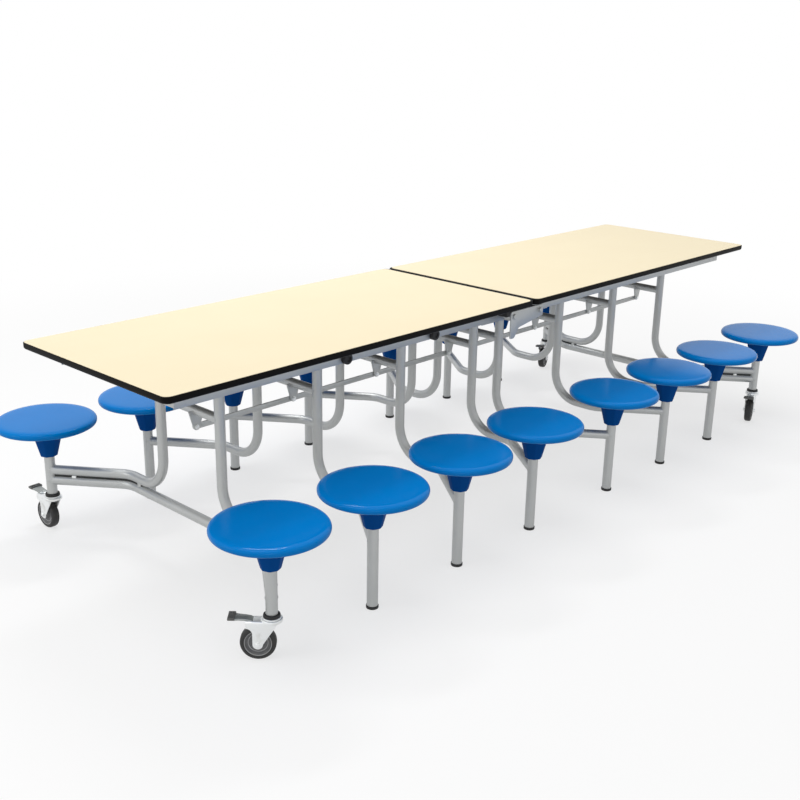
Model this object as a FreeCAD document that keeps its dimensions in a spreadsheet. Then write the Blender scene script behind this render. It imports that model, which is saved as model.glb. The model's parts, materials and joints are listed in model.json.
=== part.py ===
"""Mobile folding dining table with swivel seats on both sides, in millimetres, +Z up.

Origin on the floor under the middle of the table. X runs along the table, and the near side is -Y.
Leaf a reaches to -X and leaf b to +X. Each leaf carries four seat frames, numbered from its outer end,
and the two leaves hang on a yoke in the middle. Frames stay upright while the middle of the table rises.
"""
import FreeCAD
import Part
import Sketcher
import math
import os
import re

Vec = FreeCAD.Vector

# Driving dimensions
SIZES = {
    # Table top
    "leaf_length": 1557,
    "leaf_gap": 6,
    "top_width": 730,
    "table_height": 735,
    "board_thick": 22,
    "edge_band": 5,
    "bond_line": 0.1,
    "corner_outer": 24,
    "corner_inner": 24,
    "edge_round": 3,
    # Steel frame under each leaf
    "apron_side_inset": 82,
    "apron_end_inset": 82,
    "apron_inner_inset": 122,
    "apron_depth": 46,
    "rail_depth": 42,
    "sheet_thick": 3,
    "apron_flange": 25,
    "inner_bar_depth": 20,
    "rail_inner_inset": 42,
    "leg_side_gap": 1,
    # Leg pivots
    "leg_offset": 150,
    "pivot_drop": 54,
    "pivot_pin_d": 12,
    "pin_head_d": 20,
    "pin_head_thick": 6,
    "run_gap": 0.05,
    "face_gap": 0.3,
    # Seat frames
    "leg_od": 32,
    "tube_wall": 2,
    "leg_crown": 12,
    "leg_bend": 110,
    "arm_height": 220,
    "arm_corner": 343,
    "arm_bend": 90,
    "seat_pitch": 385,
    "first_leg": 75,
    "seat_lead": 165,
    "seat_reach": 565,
    "post_od": 34,
    "cross_od": 30,
    "cross_drop": 140,
    "lower_drop": 36,
    "lower_od": 30,
    "stub_d": 24,
    "stub_reach": 285,
    # Link bars and the ears that carry them
    "ear_drop": 54,
    "ear_width": 56,
    "ear_thick": 5,
    "ear_offset": 33,
    "link_pin_d": 8,
    "link_head_d": 14,
    "link_head_thick": 4,
    "link_depth": 18,
    "link_thick": 6,
    "link_side_gap": 1.5,
    "open_pin_gap": 0.5,
    # Seats and feet
    "seat_height": 395,
    "end_seat_lift": 7,
    "seat_d": 325,
    "seat_thick": 37,
    "seat_edge": 23,
    "rim_round": 14,
    "rim_under_round": 6,
    "hub_top_d": 96,
    "hub_foot_d": 58,
    "hub_depth": 93,
    "spindle_d": 25,
    "spindle_length": 90,
    "foot_od": 38,
    "foot_height": 10,
    "foot_stem": 30,
    "foot_stem_gap": 0.1,
    # Castors
    "castor_height": 128,
    "castor_trail": 38,
    "wheel_d": 100,
    "wheel_width": 28,
    "wheel_round": 8,
    "wheel_boss_d": 30,
    "wheel_boss_width": 32,
    "wheel_web": 14,
    "rim_inner_d": 74,
    "axle_d": 8,
    "axle_head_d": 15,
    "axle_head_thick": 5,
    "flange_d": 52,
    "flange_thick": 4,
    "king_pin_d": 12,
    "king_nut_d": 20,
    "king_nut_thick": 9,
    "crown_d": 60,
    "crown_thick": 9,
    "crown_gap": 0.5,
    "fork_plate": 3,
    "fork_eye_d": 28,
    "fork_front": 21,
    "fork_tail": 70,
    "fork_tail_depth": 20,
    "stem_plug": 40,
    "pedal_width": 28,
    "pedal_reach": 118,
    "pedal_thick": 5,
    "pedal_rise": 4,
    "pad_width": 42,
    "pad_length": 20,
    "pad_thick": 9,
    "pedal_pivot_x": 38,
    "pedal_pivot_drop": 20,
    "pedal_eye_d": 9,
    "pedal_knee": 18,
    "pedal_pin_d": 5,
    # Middle yoke
    "yoke_half": 93,
    "yoke_top_drop": 35,
    "yoke_tip_drop": 133,
    "yoke_waist_drop": 98,
    "yoke_heel_drop": 76,
    "yoke_tip_width": 22,
    "yoke_plate": 5,
    "yoke_side_gap": 43,
    "beam_half": 35,
    "beam_depth": 48,
    "hinge_eye_d": 44,
    "hinge_plate_reach": 190,
    "hinge_boss_d": 24,
    # Rubber
    "bumper_d": 36,
    "bumper_thick": 16,
    "bumper_drop": 17,
    "bumper_first": 450,
    "bumper_second": 850,
    "small_bumper_d": 18,
    "small_first": 140,
    "small_second": 480,
    "buffer_length": 18,
    "buffer_height": 26,
    "buffer_thick": 56,
}

# Rest directions of the castors, in degrees about +Z, as the wheels happen to trail
CASTOR_TURN = {"a1_near": 134, "a1_far": 92, "b1_near": 199, "b1_far": 200}

FRAMES_PER_LEAF = 4
SIDES = {"near": -1, "far": 1}
LEAVES = {"a": -1, "b": 1}

doc = FreeCAD.newDocument("FoldingSeatTable")
sheet = doc.addObject("Spreadsheet::Sheet", "Sizes")
for row, (alias, number) in enumerate(SIZES.items(), start=1):
    sheet.set(f"A{row}", alias)
    sheet.set(f"B{row}", str(number))
    sheet.setAlias(f"B{row}", alias)
doc.recompute()

nodes = []


def bind(text):
    """Expression text with every alias pointed at the sheet."""
    return re.sub(r"[a-z]\w+", lambda word: "Sizes." + word.group(0), text)


def mm(text):
    """Value of an expression on the sheet's sizes."""
    return float(sheet.evalExpression(bind(text)))


def tie(item, **texts):
    """Bind properties of an object to expressions; base_x and its like stand for Placement.Base.x."""
    for name, text in texts.items():
        path = "Placement.Base." + name[-1] if name.startswith("base_") else name
        item.setExpression(path, bind(text))


def keep(item, label):
    """Name a finished sub-part and add it to the ones that are written."""
    item.Label = label
    nodes.append(item)
    return item


# Heights and places that several pieces share
UNDER_BOARD = "table_height - board_thick"
PIVOT_Z = "table_height - pivot_drop"
APRON_FACE = "top_width/2 - apron_side_inset"
APRON_INSIDE = "(top_width/2 - apron_side_inset - sheet_thick)"
POST_BORE = "(post_od/2 - tube_wall)"
RAIL_HALF = "(leg_od/2 + leg_side_gap + sheet_thick)"
YOKE_IN = "(top_width/2 - apron_side_inset + yoke_side_gap)"
EAR_PIN_Z = "table_height - pivot_drop - cross_drop - ear_drop"


def leg_x(leaf, number):
    """Place along X of a frame's pivot line, counted from the leaf's outer end."""
    return f"{LEAVES[leaf]}*(first_leg + {FRAMES_PER_LEAF - number}*seat_pitch)"


def seat_top(is_end):
    """Height of a seat; the end seats, over the castors, stand a little higher."""
    return "(seat_height + end_seat_lift)" if is_end else "seat_height"


def hub_foot(is_end):
    return f"({seat_top(is_end)} - seat_thick - hub_depth)"


def seat_x(leaf, number):
    return f"{LEAVES[leaf]}*(first_leg + {FRAMES_PER_LEAF - number}*seat_pitch + seat_lead)"


def span(sign, low, high):
    """Low and high bound of a stretch on the + or - side of a middle plane."""
    if sign > 0:
        return low, high
    return f"-({high})", f"-({low})"


def block(name, x, y, z):
    """Box between three pairs of bounds."""
    item = doc.addObject("Part::Box", name)
    tie(item, Length=f"({x[1]}) - ({x[0]})", Width=f"({y[1]}) - ({y[0]})", Height=f"({z[1]}) - ({z[0]})")
    tie(item, base_x=x[0], base_y=y[0], base_z=z[0])
    return item


def upright(name, radius, x, y, z):
    """Cylinder along Z."""
    item = doc.addObject("Part::Cylinder", name)
    tie(item, Radius=radius, Height=f"({z[1]}) - ({z[0]})", base_x=x, base_y=y, base_z=z[0])
    return item


def crosswise(name, radius, x, y, z):
    """Cylinder along Y."""
    item = doc.addObject("Part::Cylinder", name)
    item.Placement.Rotation = FreeCAD.Rotation(Vec(1, 0, 0), -90)
    tie(item, Radius=radius, Height=f"({y[1]}) - ({y[0]})", base_x=x, base_y=y[0], base_z=z)
    return item


def fused(name, items):
    item = doc.addObject("Part::MultiFuse", name)
    item.Shapes = items
    return item


def cut(name, base, tools):
    item = doc.addObject("Part::Cut", name)
    item.Base = base
    item.Tool = tools[0] if len(tools) == 1 else fused(name + "_tools", tools)
    return item


def group(name, items):
    """Separate solids that share one node."""
    item = doc.addObject("Part::Compound", name)
    item.Links = items
    return item


def solid(name, shape, place=None):
    """Sub-part whose shape comes from Part's own functions."""
    item = doc.addObject("Part::Feature", name)
    item.Shape = shape
    item.Placement = place or FreeCAD.Placement()
    return item


def outline(body, role, name, corners):
    """Closed sketch of straight lines on an origin plane, each corner bound to the sheet."""
    sketch = body.newObject("Sketcher::SketchObject", name)
    plane = [item for item in body.Origin.OriginFeatures if item.Role == role][0]
    sketch.AttachmentSupport = [(plane, "")]
    sketch.MapMode = "FlatFace"
    points = [Vec(mm(x), mm(y), 0) for x, y in corners]
    count = len(points)
    for index in range(count):
        sketch.addGeometry(Part.LineSegment(points[index], points[(index + 1) % count]), False)
    for index in range(count):
        sketch.addConstraint(Sketcher.Constraint("Coincident", index, 2, (index + 1) % count, 1))
    for index, corner in enumerate(corners):
        for kind, axis, text in (("DistanceX", -2, corner[0]), ("DistanceY", -1, corner[1])):
            if text == "0":
                sketch.addConstraint(Sketcher.Constraint("PointOnObject", index, 1, axis))
            else:
                rule = Sketcher.Constraint(kind, -1, 1, index, 1, mm(text))
                number = sketch.addConstraint(rule)
                sketch.setExpression(f"Constraints[{number}]", bind(text))
    return sketch


def revolved(name, corners):
    """Body turned about Z from a half section of radius and height."""
    body = doc.addObject("PartDesign::Body", name)
    sketch = outline(body, "XZ_Plane", name + "_section", corners)
    turn = body.newObject("PartDesign::Revolution", name + "_turn")
    turn.Profile = sketch
    turn.ReferenceAxis = (sketch, ["V_Axis"])
    turn.Angle = 360
    doc.recompute()
    return body


def round_edges(body, name, wanted, radius):
    """Fillet on the edges of a body's tip that the test picks out."""
    base = body.Tip
    picked = [f"Edge{number}" for number, edge in enumerate(base.Shape.Edges, start=1) if wanted(edge)]
    fillet = body.newObject("PartDesign::Fillet", name)
    fillet.Base = (base, picked)
    tie(fillet, Radius=radius)
    doc.recompute()


def is_circle(edge, radius, height):
    """True for a full circle about Z of that radius and height."""
    curve = edge.Curve
    if not isinstance(curve, Part.Circle) or len(edge.Vertexes) != 1:
        return False
    return abs(curve.Radius - radius) < 1e-3 and abs(curve.Center.z - height) < 1e-3


# Table top

def board_outline(inset):
    """Rounded outline of one leaf, drawn on the +X side, brought in by an inset."""
    x_in = mm("leaf_gap/2") + inset
    x_out = mm("leaf_gap/2 + leaf_length") - inset
    half = mm("top_width/2") - inset
    r_in = mm("corner_inner") - inset
    r_out = mm("corner_outer") - inset
    slant = math.sqrt(0.5)

    def corner(x, y, sx, sy, radius):
        middle = Vec(x - sx * radius, y - sy * radius, 0)
        start = middle + Vec(sx * radius, 0, 0)
        half_way = middle + Vec(sx * radius * slant, sy * radius * slant, 0)
        end = middle + Vec(0, sy * radius, 0)
        return start, half_way, end

    out_near = corner(x_out, -half, 1, -1, r_out)
    out_far = corner(x_out, half, 1, 1, r_out)
    in_near = corner(x_in, -half, -1, -1, r_in)
    in_far = corner(x_in, half, -1, 1, r_in)
    edges = [
        Part.LineSegment(in_near[2], out_near[2]),
        Part.Arc(out_near[2], out_near[1], out_near[0]),
        Part.LineSegment(out_near[0], out_far[0]),
        Part.Arc(out_far[0], out_far[1], out_far[2]),
        Part.LineSegment(out_far[2], in_far[2]),
        Part.Arc(in_far[2], in_far[1], in_far[0]),
        Part.LineSegment(in_far[0], in_near[0]),
        Part.Arc(in_near[0], in_near[1], in_near[2]),
    ]
    return Part.Face(Part.Wire([edge.toShape() for edge in edges]))


def leaf_side(shape, leaf):
    """The shape as drawn for leaf b, or mirrored for leaf a."""
    return shape if LEAVES[leaf] > 0 else shape.mirror(Vec(0, 0, 0), Vec(1, 0, 0))


def table_top(leaf):
    """Board of one leaf and the black band round its edge."""
    lift = Vec(0, 0, mm("board_thick"))
    place = FreeCAD.Placement(Vec(0, 0, mm(UNDER_BOARD)), FreeCAD.Rotation())
    board = board_outline(mm("edge_band + bond_line")).extrude(lift)
    keep(solid("top_board_" + leaf, leaf_side(board, leaf), place), "top_board_" + leaf)
    whole = board_outline(0).extrude(lift)
    rims = [edge for edge in whole.Edges if abs(edge.BoundBox.ZLength) < 1e-6]
    whole = whole.makeFillet(mm("edge_round"), rims)
    hole = board_outline(mm("edge_band")).extrude(lift)
    band = whole.cut(hole)
    keep(solid("edge_band_" + leaf, leaf_side(band, leaf), place), "edge_band_" + leaf)


# Steel frame under a leaf

def subframe(leaf):
    """Angle-iron ring with two channels along it that hold the leg pivots."""
    sign = LEAVES[leaf]
    tag = "subframe_" + leaf
    x_out = "leaf_gap/2 + leaf_length - apron_end_inset"
    x_in = "leaf_gap/2 + apron_inner_inset"
    x_rail = "leaf_gap/2 + rail_inner_inset"
    full = (f"{UNDER_BOARD} - apron_depth", UNDER_BOARD)
    rail = (f"{UNDER_BOARD} - rail_depth", UNDER_BOARD)
    flat = (f"{UNDER_BOARD} - sheet_thick", UNDER_BOARD)
    inside = (f"-{APRON_INSIDE}", APRON_INSIDE)
    bar_inside = (f"-({APRON_INSIDE} - yoke_plate - face_gap)", f"{APRON_INSIDE} - yoke_plate - face_gap")
    items = [
        block(tag + "_end", span(sign, f"{x_out} - sheet_thick", x_out), inside, full),
        block(tag + "_end_flange", span(sign, f"{x_out} - apron_flange", x_out), inside, flat),
        block(tag + "_bar", span(sign, x_in, f"{x_in} + sheet_thick"), bar_inside,
              (f"{UNDER_BOARD} - inner_bar_depth", UNDER_BOARD)),
        block(tag + "_bar_flange", span(sign, x_in, f"{x_in} + apron_flange"), inside, flat),
    ]
    holes = []
    for side, way in SIDES.items():
        name = f"{tag}_{side}"
        items.append(block(name + "_apron", span(sign, x_in, x_out), span(way, APRON_INSIDE, APRON_FACE), full))
        items.append(block(name + "_flange", span(sign, x_in, x_out),
                           span(way, f"{APRON_INSIDE} - apron_flange", APRON_INSIDE), flat))
        along = span(sign, x_rail, f"{x_out} - sheet_thick")
        items.append(block(name + "_web", along,
                           span(way, f"leg_offset - {RAIL_HALF}", f"leg_offset + {RAIL_HALF}"), flat))
        items.append(block(name + "_cheek_in", along,
                           span(way, f"leg_offset - {RAIL_HALF}", f"leg_offset - {RAIL_HALF} + sheet_thick"), rail))
        items.append(block(name + "_cheek_out", along,
                           span(way, f"leg_offset + {RAIL_HALF} - sheet_thick", f"leg_offset + {RAIL_HALF}"), rail))
        for number in range(1, FRAMES_PER_LEAF + 1):
            reach = span(way, f"leg_offset - {RAIL_HALF} - sheet_thick", f"leg_offset + {RAIL_HALF} + sheet_thick")
            holes.append(crosswise(f"{name}_hole{number}", "pivot_pin_d/2 + run_gap", leg_x(leaf, number),
                                   reach, PIVOT_Z))
    keep(cut(tag, fused(tag + "_steel", items), holes), tag)


def pivot_pins(leaf):
    """Headed pins that carry the leg tops in the channels."""
    pins = []
    for side, way in SIDES.items():
        inner = f"leg_offset - {RAIL_HALF}"
        outer = f"leg_offset + {RAIL_HALF}"
        for number in range(1, FRAMES_PER_LEAF + 1):
            name = f"pivot_pin_{leaf}{number}_{side}"
            x = leg_x(leaf, number)
            shank = crosswise(name + "_shank", "pivot_pin_d/2", x, span(way, inner, outer), PIVOT_Z)
            head = crosswise(name + "_head", "pin_head_d/2", x,
                             span(way, outer, f"{outer} + pin_head_thick"), PIVOT_Z)
            nut = crosswise(name + "_nut", "pin_head_d/2", x,
                            span(way, f"{inner} - pin_head_thick", inner), PIVOT_Z)
            pins.append(fused(name, [shank, head, nut]))
    keep(group("pivot_pins_" + leaf, pins), "pivot_pins_" + leaf)


def hinge_plates(leaf):
    """Eye plates welded inside the aprons, which turn on the yoke's pins."""
    sign = LEAVES[leaf]
    plates = []
    for side, way in SIDES.items():
        name = f"hinge_plate_{leaf}_{side}"
        thick = span(way, f"{APRON_INSIDE} - yoke_plate", APRON_INSIDE)
        x = leg_x(leaf, FRAMES_PER_LEAF)
        strap = block(name + "_strap", span(sign, "first_leg", "hinge_plate_reach"), thick,
                      (f"{PIVOT_Z} - hinge_eye_d/2", f"{PIVOT_Z} + hinge_eye_d/2"))
        eye = crosswise(name + "_eye", "hinge_eye_d/2", x, thick, PIVOT_Z)
        boss = crosswise(name + "_boss", "hinge_boss_d/2", x,
                         span(way, APRON_INSIDE, f"{YOKE_IN} - face_gap"), PIVOT_Z)
        bore = crosswise(name + "_bore", "pivot_pin_d/2 + run_gap", x,
                         span(way, f"{APRON_INSIDE} - 2*yoke_plate", f"{YOKE_IN} + yoke_plate"), PIVOT_Z)
        plates.append(cut(name, fused(name + "_steel", [strap, eye, boss]), [bore]))
    keep(group("hinge_plates_" + leaf, plates), "hinge_plates_" + leaf)


def rubber(leaf):
    """Round bumpers on the near apron and, on leaf a, the buffer blocks beside the yoke."""
    sign = LEAVES[leaf]
    first, second, across, drop = ("bumper_first", "bumper_second", "bumper_d", "bumper_drop")
    if leaf == "b":
        first, second, across, drop = ("small_first", "small_second", "small_bumper_d", "face_gap")
    items = []
    for number, x in enumerate((first, second), start=1):
        items.append(crosswise(f"bumper_{leaf}{number}", f"{across}/2", f"{sign}*{x}",
                               span(-1, APRON_FACE, f"{APRON_FACE} + bumper_thick"),
                               f"{UNDER_BOARD} - {across}/2 - {drop}"))
    if leaf == "a":
        x_end = "leaf_gap/2 + apron_inner_inset"
        for side, way in SIDES.items():
            items.append(block(f"buffer_{side}", span(sign, f"{x_end} - buffer_length", x_end),
                               span(way, APRON_INSIDE, f"{APRON_INSIDE} + buffer_thick"),
                               (f"{UNDER_BOARD} - buffer_height", f"{UNDER_BOARD} - face_gap")))
    keep(group("bumpers_" + leaf, items), "bumpers_" + leaf)


# Middle yoke

def yoke_cheek(name, way):
    """Gusset plate of the yoke: deep at leaf a's pivot, rising towards leaf b."""
    body = doc.addObject("PartDesign::Body", name)
    corners = [
        ("-yoke_half", "table_height - yoke_top_drop"),
        ("-yoke_half", "table_height - yoke_tip_drop"),
        ("-yoke_half + yoke_tip_width", "table_height - yoke_tip_drop"),
        ("-beam_half - yoke_tip_width/2", "table_height - yoke_waist_drop"),
        ("yoke_half", "table_height - yoke_heel_drop"),
        ("yoke_half", "table_height - yoke_top_drop"),
    ]
    sketch = outline(body, "XZ_Plane", name + "_outline", corners)
    pad = body.newObject("PartDesign::Pad", name + "_pad")
    pad.Profile = sketch
    pad.Reversed = way > 0
    tie(pad, Length="yoke_plate")
    tie(body, base_y=f"{way}*{YOKE_IN}")
    doc.recompute()
    return body


def yoke():
    """Two gusset plates joined by a channel across the table, and the four hinge pins."""
    top_z = "table_height - yoke_top_drop - sheet_thick"
    low_z = f"{top_z} - beam_depth"
    across = (f"-{YOKE_IN}", YOKE_IN)
    items = [
        block("beam_web", ("-beam_half", "beam_half"), across, (f"{top_z} - sheet_thick", top_z)),
        block("beam_left", ("-beam_half", "-beam_half + sheet_thick"), across, (low_z, top_z)),
        block("beam_right", ("beam_half - sheet_thick", "beam_half"), across, (low_z, top_z)),
    ]
    holes = []
    pins = []
    for side, way in SIDES.items():
        items.append(yoke_cheek("yoke_cheek_" + side, way))
        for leaf in LEAVES:
            name = f"hinge_pin_{leaf}_{side}"
            x = leg_x(leaf, FRAMES_PER_LEAF)
            inner = f"{APRON_INSIDE} - yoke_plate - face_gap"
            outer = f"{YOKE_IN} + yoke_plate"
            holes.append(crosswise(name + "_hole", "pivot_pin_d/2 + run_gap", x,
                                   span(way, inner, f"{outer} + yoke_plate"), PIVOT_Z))
            shank = crosswise(name + "_shank", "pivot_pin_d/2", x, span(way, inner, outer), PIVOT_Z)
            head = crosswise(name + "_head", "pin_head_d/2", x,
                             span(way, outer, f"{outer} + pin_head_thick"), PIVOT_Z)
            nut = crosswise(name + "_nut", "pin_head_d/2", x,
                            span(way, f"{inner} - pin_head_thick", inner), PIVOT_Z)
            pins.append(fused(name, [shank, head, nut]))
    keep(cut("hinge_yoke", fused("yoke_steel", items), holes), "hinge_yoke")
    keep(group("hinge_pins", pins), "hinge_pins")


# Seat frames

def rod(points, bends, radius):
    """Round bar along straight runs joined by tangent bends."""
    pieces = []
    start = points[0]
    for index in range(1, len(points)):
        goal = points[index]
        run = (goal - points[index - 1]).normalize()
        if index == len(points) - 1:
            pieces.append(Part.makeCylinder(radius, (goal - start).Length, start, run))
            break
        following = (points[index + 1] - goal).normalize()
        turn = run.getAngle(following)
        bend = bends[index - 1]
        setback = bend * math.tan(turn / 2)
        bend_start = goal - run * setback
        pieces.append(Part.makeCylinder(radius, (bend_start - start).Length, start, run))
        axis = run.cross(following).normalize()
        centre = bend_start + axis.cross(run) * bend
        disc = Part.Face(Part.Wire(Part.makeCircle(radius, bend_start, run)))
        pieces.append(disc.revolve(centre, axis, math.degrees(turn)))
        start = goal + following * setback
    return pieces[0].multiFuse(pieces[1:])


def arm_path(way, top, height):
    """Corner points of a leg: down from its top, out along Y, then splayed to the seat post."""
    x_post = -mm("seat_lead")
    return [
        Vec(0, way * mm("leg_offset"), top),
        Vec(0, way * mm("leg_offset"), height),
        Vec(0, way * mm("arm_corner"), height),
        Vec(x_post, way * mm("seat_reach"), height),
    ]


def lower_path(height):
    """Corner points of the lower tube of an end frame, from post to post."""
    x_post = -mm("seat_lead")
    return [
        Vec(x_post, -mm("seat_reach"), height),
        Vec(0, -mm("arm_corner"), height),
        Vec(0, mm("arm_corner"), height),
        Vec(x_post, mm("seat_reach"), height),
    ]


def ear():
    """Plate under the cross tube with the headed pin that carries the link bar."""
    cross_z = mm(f"{PIVOT_Z} - cross_drop")
    pin_z = mm(EAR_PIN_Z)
    half = mm("ear_width/2")
    tip = mm("link_head_d/2 + ear_thick/2")
    y_near = -mm("ear_offset + ear_thick")
    along = Vec(0, 1, 0)
    corners = [(-half, cross_z), (half, cross_z), (tip, pin_z), (-tip, pin_z)]
    points = [Vec(x, y_near, z) for x, z in corners]
    plate = Part.Face(Part.makePolygon(points + points[:1])).extrude(along * mm("ear_thick"))
    eye = Part.makeCylinder(tip, mm("ear_thick"), Vec(0, y_near, pin_z), along)
    head_thick = mm("link_head_thick")
    head = Part.makeCylinder(mm("link_head_d/2"), head_thick, Vec(0, y_near - head_thick, pin_z), along)
    bar_far = mm("link_side_gap + link_thick - ear_offset")
    shank_length = bar_far + mm("face_gap") - y_near
    shank = Part.makeCylinder(mm("link_pin_d/2"), shank_length, Vec(0, y_near, pin_z), along)
    clip_place = Vec(0, bar_far + mm("face_gap"), pin_z)
    clip = Part.makeCylinder(mm("link_head_d/2"), head_thick, clip_place, along)
    return [plate, eye, head, shank, clip]


def frame_shape(is_end):
    """Welded frame of two legs and seat posts, drawn with its pivot at x = 0 and its seats to -x."""
    wall = mm("tube_wall")
    leg_top = mm(f"{PIVOT_Z} + leg_crown")
    pivot_z = mm(PIVOT_Z)
    arm_z = mm("arm_height")
    lower_z = mm("arm_height - lower_drop")
    post_foot = mm("castor_height") if is_end else mm("foot_height")
    post_top = mm(hub_foot(is_end))
    post_r = mm("post_od/2")
    x_post = -mm("seat_lead")
    leg_r = mm("leg_od/2")
    cross_r = mm("cross_od/2")
    cross_z = mm(f"{PIVOT_Z} - cross_drop")
    up = Vec(0, 0, 1)
    bends = [mm("leg_bend"), mm("arm_bend")]
    outer = ear()
    inner = []
    for way in SIDES.values():
        path = arm_path(way, leg_top, arm_z)
        outer.append(rod(path, bends, leg_r))
        inner.append(rod(path, bends, leg_r - wall))
        post = Vec(x_post, way * mm("seat_reach"), post_foot)
        outer.append(Part.makeCylinder(post_r, post_top - post_foot, post, up))
        inner.append(Part.makeCylinder(post_r - wall, post_top - post_foot - wall, post, up))
        spindle = Vec(post.x, post.y, post_top - wall)
        outer.append(Part.makeCylinder(mm("spindle_d/2"), mm("spindle_length") + wall, spindle, up))
        bore_place = Vec(0, way * mm("leg_offset") - leg_r, pivot_z)
        inner.append(Part.makeCylinder(mm("pivot_pin_d/2 + run_gap"), 2 * leg_r, bore_place, Vec(0, 1, 0)))
        if is_end:
            stub_place = Vec(0, way * mm("stub_reach"), lower_z)
            outer.append(Part.makeCylinder(mm("stub_d/2"), arm_z - lower_z, stub_place, up))
    cross_start = Vec(0, -mm("leg_offset"), cross_z)
    cross_length = 2 * mm("leg_offset")
    outer.append(Part.makeCylinder(cross_r, cross_length, cross_start, Vec(0, 1, 0)))
    inner.append(Part.makeCylinder(cross_r - wall, cross_length, cross_start, Vec(0, 1, 0)))
    if is_end:
        lower = lower_path(lower_z)
        lower_bends = [mm("arm_bend"), mm("arm_bend")]
        outer.append(rod(lower, lower_bends, mm("lower_od/2")))
        inner.append(rod(lower, lower_bends, mm("lower_od/2") - wall))
    steel = outer[0].multiFuse(outer[1:])
    return steel.cut(inner[0].multiFuse(inner[1:]))


def foot(name, x, y):
    """Rubber foot with a stem pushed up the post."""
    pad = upright(name + "_pad", "foot_od/2", x, y, ("0*foot_height", "foot_height"))
    stem = upright(name + "_stem", f"{POST_BORE} - foot_stem_gap", x, y, ("foot_height", "foot_height + foot_stem"))
    return fused(name, [pad, stem])


def castor_stem(name, x, y):
    """Plug in the post, bearing flange, king pin and the nut that holds the fork up."""
    flange_low = "castor_height - flange_thick"
    nut_top = f"{flange_low} - 2*crown_gap - crown_thick"
    parts = [
        upright(name + "_plug", f"{POST_BORE} - foot_stem_gap", x, y,
                ("castor_height", "castor_height + stem_plug")),
        upright(name + "_flange", "flange_d/2", x, y, (flange_low, "castor_height")),
        upright(name + "_king", "king_pin_d/2", x, y, (nut_top, flange_low)),
        upright(name + "_nut", "king_nut_d/2", x, y, (f"{nut_top} - king_nut_thick", nut_top)),
    ]
    return fused(name, parts)


def seat_frames(leaf):
    """Four welded frames of a leaf, with the feet or castor stems in their posts."""
    for number in range(1, FRAMES_PER_LEAF + 1):
        is_end = number == 1
        name = f"frame_{leaf}{number}"
        shape = frame_shapes[is_end]
        if LEAVES[leaf] > 0:
            shape = shape.mirror(Vec(0, 0, 0), Vec(1, 0, 0))
        place = FreeCAD.Placement(Vec(mm(leg_x(leaf, number)), 0, 0), FreeCAD.Rotation())
        keep(solid(name, shape, place), name)
        ends = []
        make = castor_stem if is_end else foot
        for side, way in SIDES.items():
            ends.append(make(f"post_end_{leaf}{number}_{side}", seat_x(leaf, number), f"{way}*seat_reach"))
        label = ("castor_stems_" if is_end else "feet_") + f"{leaf}{number}"
        keep(group(label, ends), label)


def link_bar(leaf):
    """Flat bar that keeps the four frames of a leaf parallel; tight on the end frame's pin."""
    name = "link_bar_" + leaf
    thick = ("link_side_gap - ear_offset", "link_side_gap + link_thick - ear_offset")
    reach = ("link_side_gap - ear_offset - link_thick", "2*link_thick + link_side_gap - ear_offset")
    long_end = f"first_leg + {FRAMES_PER_LEAF - 1}*seat_pitch"
    items = [block(name + "_flat", span(LEAVES[leaf], "first_leg", long_end), thick,
                   (f"{EAR_PIN_Z} - link_depth/2", f"{EAR_PIN_Z} + link_depth/2"))]
    holes = []
    for number in range(1, FRAMES_PER_LEAF + 1):
        x = leg_x(leaf, number)
        if number in (1, FRAMES_PER_LEAF):
            items.append(crosswise(f"{name}_end{number}", "link_depth/2", x, thick, EAR_PIN_Z))
        gap = "run_gap" if number == 1 else "open_pin_gap"
        holes.append(crosswise(f"{name}_hole{number}", f"link_pin_d/2 + {gap}", x, reach, EAR_PIN_Z))
    keep(cut(name, fused(name + "_steel", items), holes), name)


# Seats

def seat(leaf, number, side):
    """Moulded seat: a round disc with a thin rolled rim, a sloping underside and a tapered hub on the spindle."""
    name = f"seat_{leaf}{number}_{side}"
    bore = "spindle_d/2 + run_gap"
    top = seat_top(number == 1)
    foot_z = hub_foot(number == 1)
    under = f"{top} - seat_thick"
    rim_under = f"{top} - seat_edge"
    roof = f"{foot_z} + spindle_length + face_gap"
    body = revolved(name, [
        (bore, foot_z),
        ("hub_foot_d/2", foot_z),
        ("hub_top_d/2", under),
        ("seat_d/2", rim_under),
        ("seat_d/2", top),
        ("0", top),
        ("0", roof),
        (bore, roof),
    ])
    rim = mm("seat_d/2")
    round_edges(body, name + "_rim", lambda edge: is_circle(edge, rim, mm(top)), "rim_round")
    round_edges(body, name + "_under", lambda edge: is_circle(edge, rim, mm(rim_under)), "rim_under_round")
    tie(body, base_x=seat_x(leaf, number), base_y=f"{SIDES[side]}*seat_reach")
    keep(body, name)


# Castors

def plate_hull(points, eye, radius, y_low, thick):
    """Flat plate through points with a round eye at its lower end."""
    corners = [Vec(x, y_low, z) for x, z in points]
    plate = Part.Face(Part.makePolygon(corners + corners[:1])).extrude(Vec(0, thick, 0))
    disc = Part.makeCylinder(radius, thick, Vec(eye[0], y_low, eye[1]), Vec(0, 1, 0))
    return plate.fuse(disc)


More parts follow.
